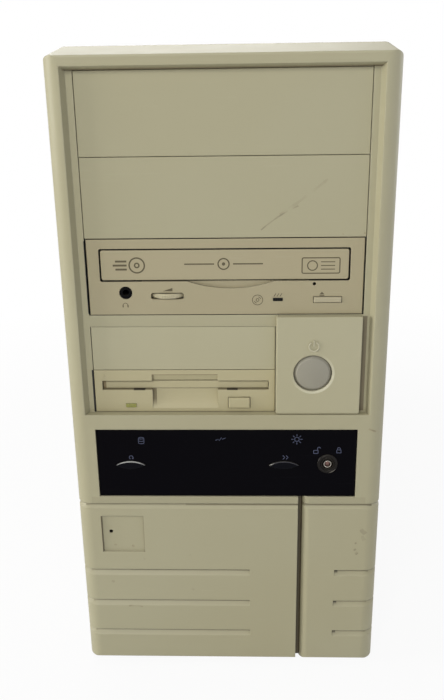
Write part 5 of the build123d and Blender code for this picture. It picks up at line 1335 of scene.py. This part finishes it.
def addFan(name, look):
    hub, depth, axle, reach = take(look, "hub depth axle reach")
    place = (look["at"], look["tilt"], "blackPlastic")
    profile = [(0, -reach), (axle, -reach), (axle, 0.4), (hub, 0.4), (hub, depth - 1.2)]
    profile += [(hub - 0.5, depth - 0.4), (hub - 1.4, depth), (hub * 0.5, depth)]
    profile += [(hub * 0.46, depth - 0.5), (0, depth - 0.5)]
    middle = gridOf(Shape().lathe(zero[:2], profile).mesh(smooth=35), (1, 1), (1, 1), *place)
    blades = ringOf(bladeMesh(look), look["blades"], 0.001, *place)
    addPiece(name, [middle, blades], look["body"], look["node"])


for name, look in fanLooks.items():
    addFan(name, look)

# Wire guard of the supply's fan, screwed on at its four loops
guardLook = dict(
    centre=(-30.0, 317.8), y=199.75, rings=(12.0, 23.0, 34.0), wire=0.74, corner=50.2, loop=2.9,
    loopWire=0.72, spokeFrom=11.9, seat=199.0,
)
smallScrew = dict(radius=2.3, height=1.45, dome=0.4, arm=1.3, armWidth=0.5, recess=0.7)


def addGuard(look):
    (u, v), y, wire = look["centre"], look["y"], look["wire"]
    guard = Shape("front")
    for radius in look["rings"]:
        guard.lathe(look["centre"], arc((radius, y), wire, 0, 315, 7), 64, True)
    for turn in (45, 135, 225, 315):
        along = Vector((math.cos(math.radians(turn)), math.sin(math.radians(turn))))
        loop = Vector(look["centre"]) + along * look["corner"]
        guard.lathe(loop, arc((look["loop"], y), look["loopWire"], 0, 300, 5), 28, True)
        start, end = Vector(look["centre"]) + along * look["spokeFrom"], loop - along * look["loop"]
        middle = (start + end) / 2
        sizes = dict(radius1=wire * mm, radius2=wire * mm, depth=(end - start).length * mm)
        rod = bmesh.ops.create_cone(guard.bm, cap_ends=True, segments=10, **sizes)["verts"]
        place = Matrix.Translation(inMetres((middle.x, y, middle.y)))
        turned = Matrix.Rotation(math.radians(90 - turn), 4, "Y")
        bmesh.ops.transform(guard.bm, matrix=place @ turned, verts=rod)
    step = look["corner"] * math.sqrt(2)
    heads = gridOf(screwMesh(smallScrew), (2, 2), (step, step), (u, look["seat"], v), "back", "zincScrew")
    addPiece("fanGuard", [guard.mesh("chromeWire", 50), heads], "case", "psu_fan_guard")


addGuard(guardLook)


# Rear sockets
def dShape(at, wide, tall, radius=1.8, lean=10.0):  # rounded shell outline, narrower below
    top = at[1] + tall / 2
    slope = math.tan(math.radians(lean)) / (wide / 2)
    outline = roundedAt(at, (wide, tall), radius)
    return [(at[0] + (u - at[0]) * (1 - (top - v) * slope), v) for u, v in outline]


twoRowPort = dict(at=(23.1, 2.5), pitch=2.76, rowPitch=2.84, shift=0.0, ink="blackPlastic")
portLooks = dict(  # shift: every other row of contacts sits this much further along
    videoPort=dict(
        twoRowPort, wide=17.2, flange=31.0, rows=(5, 5, 5), pitch=2.3, rowPitch=1.98, shift=1.15,
        ink="portBlue",
    ),
    printerPort=dict(twoRowPort, wide=39.0, flange=53.0, rows=(13, 12)),
    gamePort=dict(twoRowPort, at=(40.1, 2.5), wide=25.4, flange=28.4, rows=(8, 7)),
)
portBuild = dict(  # the last six are places along y, the first of them deepest in the case
    tall=8.2, wall=1.0, narrowing=1.2, above=4.5, below=4.7, jackInset=3.2, deep=186.0, seat=199.02,
    insert=199.1, shell=199.6, face=199.7, out=205.0,
)


def addPort(name, look, slotZ):
    u, v = at = (look["at"][0], slotZ + look["at"][1])
    wide, half, rows, pitch = look["wide"], look["flange"] / 2, look["rows"], look["pitch"]
    tall, wall, narrowing, inset = take(portBuild, "tall wall narrowing jackInset")
    above, below, deep, seat = take(portBuild, "above below deep seat")
    inside, low, face, out = take(portBuild, "insert shell face out")
    inner = dShape(at, wide - wall, tall - wall, radius=1.4)
    jacks = [(u - half + inset, v), (u + half - inset, v)] if half > wide / 2 + 6 else []
    holes = [circle(jack, 1.3, 16) for jack in jacks]
    flange = roundedBox((u - half, v - below), (u + half, v + above), 1.0)
    shell = Shape("front").extrude(flange, seat, face, [inner, *holes])
    shell.extrude(dShape(at, wide, tall), low, out, [inner])
    shell.extrude(dShape(at, wide - narrowing, tall - narrowing, radius=1.3), deep, inside)
    for jack in jacks:
        shell.extrude(circle(jack, 2.6, 6), low, low + 4.0, [circle(jack, 1.2, 12)])
    contact = Shape().lathe(zero[:2], [(0.3, 0), (0.52, 0), (0.52, 4.2), (0.3, 4.2)], 8, True).mesh()
    pins, contacts = [], []
    for row, count in enumerate(rows):
        middle = u + (row % 2 - 0.5) * look["shift"]
        height = v + ((len(rows) - 1) / 2 - row) * look["rowPitch"]
        pins += [(middle + (k - (count - 1) / 2) * pitch, height) for k in range(count)]
        place = (middle, inside + 0.2, height)
        contacts.append(gridOf(contact, (count, 1), (pitch, 1), place, "back", "goldContact"))
    insert = Shape("front").extrude(inner, inside, out - 0.6, [circle(pin, 0.55, 10) for pin in pins])
    parts = [shell.mesh("brightTin", 30), insert.mesh(look["ink"], 30), *contacts]
    addPiece(name, parts, "case")


# Cards: board with gold edge, steel bracket, chips with legs and small components
gullWing = [(0, 1.4), (0.6, 1.4), (0.9, 0.15), (1.5, 0.15), (1.5, 0), (0.75, 0), (0.45, 1.2), (0, 1.2)]
legShapes = []  # for the sides at +Y, -X, -Y and +X
for quarter in range(4):
    leg = Shape("side").extrude(gullWing, -0.16, 0.16).mesh()
    leg.transform(Matrix.Rotation(math.pi / 2 * quarter, 4, "Z"))
    legShapes.append(leg)


chipBuild = dict(clear=0.3, taper=0.35, corner=0.6, dimple=0.7, dimpleInset=2.4)


def chipMeshes(centre, size, tilt="up", pitch=1.27, height=3.0):
    half = size / 2
    clear, taper, corner, dimple, inset = take(chipBuild, "clear taper corner dimple dimpleInset")
    chip = Shape()
    levels = ((half, clear), (half, height * 0.6), (half - taper, height))
    rings = [chip.ring(roundedBox((-h, -h), (h, h), corner, 1), depth) for h, depth in levels]
    for first, second in zip(rings, rings[1:]):
        chip.band(first, second)
    for cap in (rings[-1], rings[0][::-1]):
        chip.bm.faces.new(cap)
    low, high = height - 0.1, height + 0.02
    chip.lathe((-half + inset, half - inset), [(0, low), (dimple, low), (dimple, high), (0, high)], 12)
    meshes = [gridOf(chip.mesh(), (1, 1), (1, 1), centre, tilt, "chipBlack")]
    count = int((size - 3) / pitch)
    turned = Euler(tilts[tilt]).to_matrix()
    for leg, (u, v) in zip(legShapes, ((0, half), (-half, 0), (0, -half), (half, 0))):
        counts = (1, count) if u else (count, 1)
        place = Vector(centre) + turned @ Vector((u, v, 0))
        meshes.append(gridOf(leg, counts, (pitch, pitch), place, tilt, "brightTin"))
    return meshes


canProfile = [(0, 0), (2.3, 0), (2.5, 0.3), (2.5, 0.9), (2.35, 1.1)]
canProfile += [(2.5, 1.3), (2.5, 7.2), (2.25, 7.5), (0, 7.5)]
capacitorShape = Shape().lathe(zero[:2], canProfile, 20).mesh(smooth=35)
resistorShape = Shape().box((-1.0, -0.6, 0), (1.0, 0.6, 0.55)).mesh()
cardLooks = dict(  # chips of (share across, share along, size)
    ioCard=dict(
        node="io_card", z=197.68, length=110.0, chips=((0.55, 0.25, 22.0),), port="printerPort", jacks=0,
        headers=((43.2, 132.1), (50.8, 110.1)), capsAt=(52.0, 172.0),
    ),
    videoCard=dict(
        node="video_card", z=157.04, length=130.0, port="videoPort", jacks=0, headers=(),
        chips=((0.5, 0.45, 28.0), (0.25, 0.8, 18.0), (0.5, 0.8, 18.0)), capsAt=(54.0, 176.0),
    ),
    soundCard=dict(
        node="sound_card", z=116.4, length=165.0, port="gamePort", jacks=4, headers=(),
        chips=((0.55, 0.4, 24.0), (0.3, 0.6, 14.0), (0.7, 0.75, 20.0)), capsAt=(-6.0, 150.0),
    ),
)
cardPlace = dict(
    far=-25.9, edge=68.1, tab=72.1, back=198.1, tabY=(96.0, 177.0), bracket=(-41.9, 76.1), half=9.2,
    span=98, thick=1.6,
)
jackLook = dict(pitch=12.0, height=3.0, hole=1.8, collar=3.2, deep=186.0, out=205.0, body=(184.0, 198.0))


def addCard(name, look, place):
    z, length, port = look["z"], look["length"], portLooks[look["port"]]
    far, edge, tab, back, half, span, thick = take(place, "far edge tab back half span thick")
    (tabLow, tabHigh), (left, right) = take(place, "tabY bracket")
    top, front = z + thick / 2, back - length
    outline = [(far, front), (edge, front), (edge, tabLow), (tab, tabLow + 1), (tab, tabHigh - 1)]
    outline += [(edge, tabHigh), (edge, back), (far, back)]
    holes = [circle((far + 4, y), 1.6, 16) for y in (front + 4, back - 26)]
    finger = Shape().box((-1.7, -0.75, -0.86), (1.7, 0.75, 0.86)).mesh()
    tabMiddle = ((edge + tab) / 2, (tabLow + tabHigh) / 2, z)
    spread = dict(loose=2.4, seed=int(z))
    counts, middle = (8, int(length / 14)), (16.0, back - length / 2 - 4, top)
    headers = Shape()
    for across, along in look["headers"]:
        headers.box((1.75 - across / 2, along - 3, top), (1.75 + across / 2, along + 3, z + 9.8))
    parts = [
        Shape().extrude(outline, top - thick, top, holes).mesh("boardGreen"),
        gridOf(finger, (1, 31), (1, 2.54), tabMiddle, "up", "goldContact"),
        gridOf(capacitorShape, (2, 3), (8.0, 9.5), (*look["capsAt"], top), "up", "capSleeve"),
        gridOf(resistorShape, counts, (9.5, 11.0), middle, "up", "solderTan", **spread),
        headers.mesh("blackPlastic"),
    ]
    addPiece(name, parts, "case", look["node"])
    chips = []
    for shareX, shareY, size in look["chips"]:
        chips += chipMeshes((far + shareX * span, back - shareY * length, top), size)
    addPiece(name + "Chips", chips, "case")
    jacks = [(far + jackLook["pitch"] * (k + 1), z + jackLook["height"]) for k in range(look["jacks"])]
    cuts = [dShape((port["at"][0], z + port["at"][1]), port["wide"] - 0.8, 7.4)]
    cuts += [circle(jack, 3.3, 24) for jack in jacks]
    plate = roundedBox((left, z - half), (right, z + half), 1.5)
    bracket = Shape("front").extrude(plate, back, back + 0.9, cuts).mesh("bracketSteel")
    addPiece(name + "Bracket", bracket, "case")
    addPort(look["port"], port, z)
    if jacks:
        addJacks(jacks, top, jackLook)


def addJacks(jacks, top, look):
    pitch, hole, collar, deep, out, body = take(look, "pitch hole collar deep out body")
    profile = [(hole, deep), (collar, deep), (collar, out - 0.5)]
    profile += [(collar - 0.3, out), (hole + 0.3, out), (hole, out - 0.5)]
    sockets = Shape()
    for u, v in jacks:
        sockets.on("front").lathe((u, v), profile, 28, True)
        sockets.on("flat").box((u - 4.2, body[0], top), (u + 4.2, body[1], top + 6.4))
    lining = [(hole - 0.3, 0), (hole, 0), (hole, 14), (hole - 0.3, 14)]
    ring = Shape().lathe(zero[:2], lining, 20, True).mesh(smooth=35)
    middle = ((jacks[0][0] + jacks[-1][0]) / 2, deep + 2, jacks[0][1])
    rings = gridOf(ring, (len(jacks), 1), (pitch, 1), middle, "back", "brightTin")
    addPiece("audioSockets", [sockets.mesh("blackPlastic", 35), rings], "case")


for name, look in cardLooks.items():
    addCard(name, look, cardPlace)

# Keyboard socket's insert and the blades of the mains inlet
keyLook = dict(
    centre=(68.1, 242.0), radius=6.5, wall=0.35, holes=5, ring=4.3, deep=192.1, face=194.0, out=199.6,
)
inletLook = dict(blades=((35, 292.8), (42, 296.8), (49, 292.8)), size=(2.1, 4.1), deep=184.0, out=195.4)


def addKeyInsert(look):
    (u, v), radius, wall, deep, out = take(look, "centre radius wall deep out")
    inner = radius - wall
    holes = [circle(pin, 0.75, 12) for pin in arc((u, v - 0.8), look["ring"], 0, 180, look["holes"] - 1)]
    insert = Shape("front").extrude(circle((u, v), inner + 0.05, 40), deep, look["face"], holes)
    section = [(inner, deep), (radius, deep), (radius, out), (inner, out)]
    shell = Shape("front").lathe((u, v), section, 40, True)
    parts = [insert.mesh("socketIvory"), shell.mesh("brightTin", 35)]
    addPiece("keyboardContacts", parts, "case")


addKeyInsert(keyLook)
blades = Shape("front")
for place in inletLook["blades"]:
    blades.block(place, inletLook["size"], inletLook["deep"], inletLook["out"], 0.4)
addPiece("inletBlades", blades.mesh("brightTin"), "case", bevel=0.25)
print("rear pieces are made")

# System board: everything on it stands towards -X; places are (y, z)
boardLook = dict(
    low=(-52.0, 34.0), high=(197.0, 254.0), face=77.1, back=78.7, holeYs=(-30.0, 20.0, 120.0),
    holeZs=(40.0, 248.0),
)
processorLook = dict(at=(-18.0, 74.0), size=(50.0, 50.0), height=6.0)
controllerLook = dict(ys=(32.0, 82.0, 132.0), z=59.0, size=30.0)
logicLook = dict(y=5.0, zs=(112.0, 140.0, 186.0, 214.0), size=9.0)
moduleLook = dict(y=-25.0, count=4, pitch=10.0, z=160.0, length=108.0, root=74.1, half=0.65, socket=6.0)
headerLook = dict(at=(31.0, 242.0), size=(21.0, 8.0), height=9.0)


def grooved(face, low, high, middle, half, groove):  # a socket's section, with a slot in its open side
    outline = [(face, -half), (face, half), (low, half), (low, groove), (high, groove)]
    outline += [(high, -groove), (low, -groove), (low, -half)]
    return [(u, middle + v) for u, v in outline]


def addMainBoard(look):
    face = look["face"]
    holes = [circle((y, z), 1.8, 16) for y in look["holeYs"] for z in look["holeZs"]]
    sheet = Shape("side").extrude(roundedBox(look["low"], look["high"], 2.0), face, look["back"], holes)
    ivory = Shape("side")
    for part in (processorLook, headerLook):
        ivory.block(part["at"], part["size"], face - part["height"], face)
    top, end, groove = face - moduleLook["socket"], moduleLook["length"] / 2, moduleLook["half"] + 0.1
    middle = moduleLook["z"]
    for k in range(moduleLook["count"]):
        y = moduleLook["y"] + (k - 1.5) * moduleLook["pitch"]
        ivory.on("flat").extrude(grooved(face, top, top + 3, y, 3, groove), middle - end, middle + end)
        for side in (-1, 1):
            ivory.on("side").block((y, middle + side * (end + 1.45)), (6.0, 2.9), top - 3.5, face, 0.4)
    small = ("left", "solderTan")
    rowsAt = (face, 112, middleSlot)
    parts = [
        sheet.mesh("boardGreen"),
        ivory.mesh("socketIvory"),
        gridOf(capacitorShape, (3, 1), (10, 1), (face, 12, 88), "left", "capSleeve"),
        gridOf(capacitorShape, (1, 4), (1, 8), (face, 62, 243), "left", "capSleeve"),
        gridOf(resistorShape, (12, 4), (9.5, 7.5), (face, 18, 160), *small, loose=2.5, seed=5),
        gridOf(resistorShape, (6, 16), (slotPitch, 8.0), rowsAt, *small, loose=1.5, seed=8),
    ]
    addPiece("mainBoard", parts, "case", "motherboard")
    chips = []
    for y in controllerLook["ys"]:
        chips += chipMeshes((face, y, controllerLook["z"]), controllerLook["size"], "left", pitch=0.9)
    for z in logicLook["zs"]:
        chips += chipMeshes((face, logicLook["y"], z), logicLook["size"], "left", height=2.2)
    addPiece("mainChips", chips, "case")


addMainBoard(boardLook)


def addModules(look):
    end = look["length"] / 2
    sheet = [(end, 0), (end, 25), (-end, 25), (-end, 4), (1 - end, 3), (-end, 2), (-end, 0)]
    legs = Shape()
    for k in range(9):
        legs.box((-5.7, 0.65, 7.75 + k * 1.5), (5.7, 1.3, 8.25 + k * 1.5))
    rows = [
        (Shape("front").extrude(sheet, -look["half"], look["half"]), 1, "boardGreen"),
        (Shape().box((-0.5, -0.7, 0.4), (0.5, 0.7, 4.6)), 36, "goldContact"),
        (Shape("front").block((0, 14), (10.5, 16), 0.75, 2.1, 0.3), 8, "chipBlack"),
        (legs, 8, "brightTin"),
    ]
    place = (look["root"], look["y"], look["z"])
    parts = []
    for shape, across, material in rows:
        counts, step = (across, look["count"]), (look["length"] / across, look["pitch"])
        parts.append(gridOf(shape.mesh(), counts, step, place, "left", material))
    addPiece("memoryModules", parts, "case", "memory_modules")


addModules(moduleLook)

# Expansion sockets: the upper four long and black, the lower three short and ivory
socketLook = dict(end=179.0, depth=9.0, half=4.0, groove=0.95, grooveDepth=4.4, wall=1.0)
socketRows = [
    dict(first=0, count=4, length=138.0, pitch=2.54, pins=52, plastic="blackPlastic"),
    dict(first=4, count=3, length=85.0, pitch=1.27, pins=62, plastic="socketIvory"),
]


def addSockets(kinds, look):
    face, (end, wall, half) = boardLook["face"], take(look, "end wall half")
    low = face - look["depth"]
    pair = Shape()
    for u in (-1.25, 1.25):
        pair.box((u - 0.3, -0.35, -0.05), (u + 0.3, 0.35, 0.0))
    pair = pair.mesh()
    parts = []
    for kind in kinds:
        near = end - kind["length"]
        bodies = Shape("front")
        for k in range(kind["count"]):
            z = topSlot - slotPitch * (kind["first"] + k)
            section = grooved(face, low, low + look["grooveDepth"], z, half, look["groove"])
            bodies.extrude(section, near + wall, end - wall)
            for y in (near, end - wall):
                bodies.block(((low + face) / 2, z), (look["depth"], 2 * half), y, y + wall, 0.5)
        middle = (low, (near + end) / 2, topSlot - slotPitch * (kind["first"] + (kind["count"] - 1) / 2))
        counts, step = (kind["count"], kind["pins"]), (slotPitch, kind["pitch"])
        parts += [bodies.mesh(kind["plastic"]), gridOf(pair, counts, step, middle, "left", "goldContact")]
    addPiece("expansionSockets", parts, "case", "expansion_slots")


addSockets(socketRows, socketLook)

# Supply leads: routes of (x, y, z), each a bundle of coloured wires
wireTones = dict(
    yellow=(198, 164, 40), red=(156, 30, 28), black=(24, 24, 25), orange=(196, 100, 36),
    white=(206, 204, 196), blue=(38, 58, 128), grey=(120, 120, 122),
)
for title, colour in wireTones.items():
    finish(title + "Wire", dict(colour=colour, roughness=0.42, drift=0.1, grime=0.2, edge=0.05 * mm))
plugLook = dict(size=(20.8, 7.8), nose=(18.6, 6.6), noseLength=5, latch=(1.2, 4.0), latchAt=9.9)
square = [(1.1, 1.1), (-1.1, 1.1), (-1.1, -1.1), (1.1, -1.1)]
leadLook = dict(offsets=square, radius=1.05, plug=None)
leadLooks = dict(
    disc=dict(
        leadLook, wires=("yellow", "black", "black", "red"), plug=(-2.0, 14.0),
        route=((-48.4, 59, 280.8), (-48.4, 31, 280.8), (-48.4, 31, 239.05), (-48.4, 13, 239.05)),
    ),
    disk=dict(
        leadLook, wires=("yellow", "black", "black", "red"), plug=(-14.0, 2.0),
        route=(
            (-63.25, 59, 280.8), (-63.25, 31, 280.8), (-63.25, 31, 252), (-63.25, 31, 184),
            (-63.25, 31, 155.7), (-63.25, 1, 155.7),
        ),
    ),
    diskette=dict(
        leadLook, wires=("red", "black", "black", "yellow"), plug=(-50.0, -34.0),
        route=(
            (-40.25, 59, 280.8), (-40.25, 31, 280.8), (-40.25, 31, 252), (-40.25, 31, 208),
            (-40.25, 31, 180.55), (-40.25, 5, 180.55), (-40.25, -35, 180.55),
        ),
    ),
    switch=dict(
        leadLook, wires=("blue", "black", "white", "grey"), radius=1.1,
        route=(
            (42.3, 59, 295.8), (42.3, 17, 295.8), (42.3, 17, 268), (42.3, 17, 226), (42.3, 17, 197.1),
            (42.3, -12, 197.1), (42.3, -139, 197.1),
        ),
    ),
    board=dict(
        leadLook, wires=("yellow", "red", "black", "orange", "white", "black", "blue"), radius=0.95,
        offsets=[(0, 0), *circle(zero, 2.0, 6)],
        route=((39.4, 59, 280.8), (39.4, 31, 280.8), (39.4, 31, 242), (69, 31, 242)),
    ),
)


def addCurve(name, kind, points, dimensions):
    curve = bpy.data.curves.new(name, "CURVE")
    curve.dimensions = dimensions
    curve.resolution_u = 6
    spline = curve.splines.new(kind)
    spline.points.add(len(points) - 1)
    for point, place in zip(spline.points, points):
        point.co = [*inMetres(place), 1.0]
    if kind == "NURBS":
        spline.order_u = 3
        spline.use_endpoint_u = True
    else:
        spline.use_cyclic_u = True
    return addObject(name, curve)


def wireMesh(route, offset, radius, material):  # one wire, at an offset from the bundle's middle
    section = addCurve("section", "POLY", [(*p, 0.0) for p in circle(offset, radius, 7)], "2D")
    path = addCurve("wire", "NURBS", route, "3D")
    path.data.bevel_mode = "OBJECT"
    path.data.bevel_object = section
    path.data.use_fill_caps = True
    made = plain(path)
    bpy.data.objects.remove(section)
    made.materials.clear()
    made.materials.append(finishes[material])
    made.shade_smooth()
    return made


def addLeads(looks):
    parts = []
    plugs = Shape("front")
    for look in looks.values():
        for title, offset in zip(look["wires"], look["offsets"]):
            parts.append(wireMesh(look["route"], offset, look["radius"], title + "Wire"))
        if look["plug"]:
            x, _, z = look["route"][-1]
            front, back = look["plug"]
            nose = back - plugLook["noseLength"]
            plugs.block((x, z), plugLook["size"], front, nose, 1.2)
            plugs.block((x, z), plugLook["nose"], nose, back, 0.8)
            for side in (-1, 1):
                latch = (x + side * plugLook["latchAt"], z)
                plugs.block(latch, plugLook["latch"], front + 3, back - 2, 0.4)
    addPiece("supplyLeads", [*parts, plugs.mesh("socketIvory")], "case", "supply_leads")


addLeads(leadLooks)
print("inside pieces are made")


size = dict(cad=[list(v) for v in cadBounds], visual=[list(v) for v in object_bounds()])
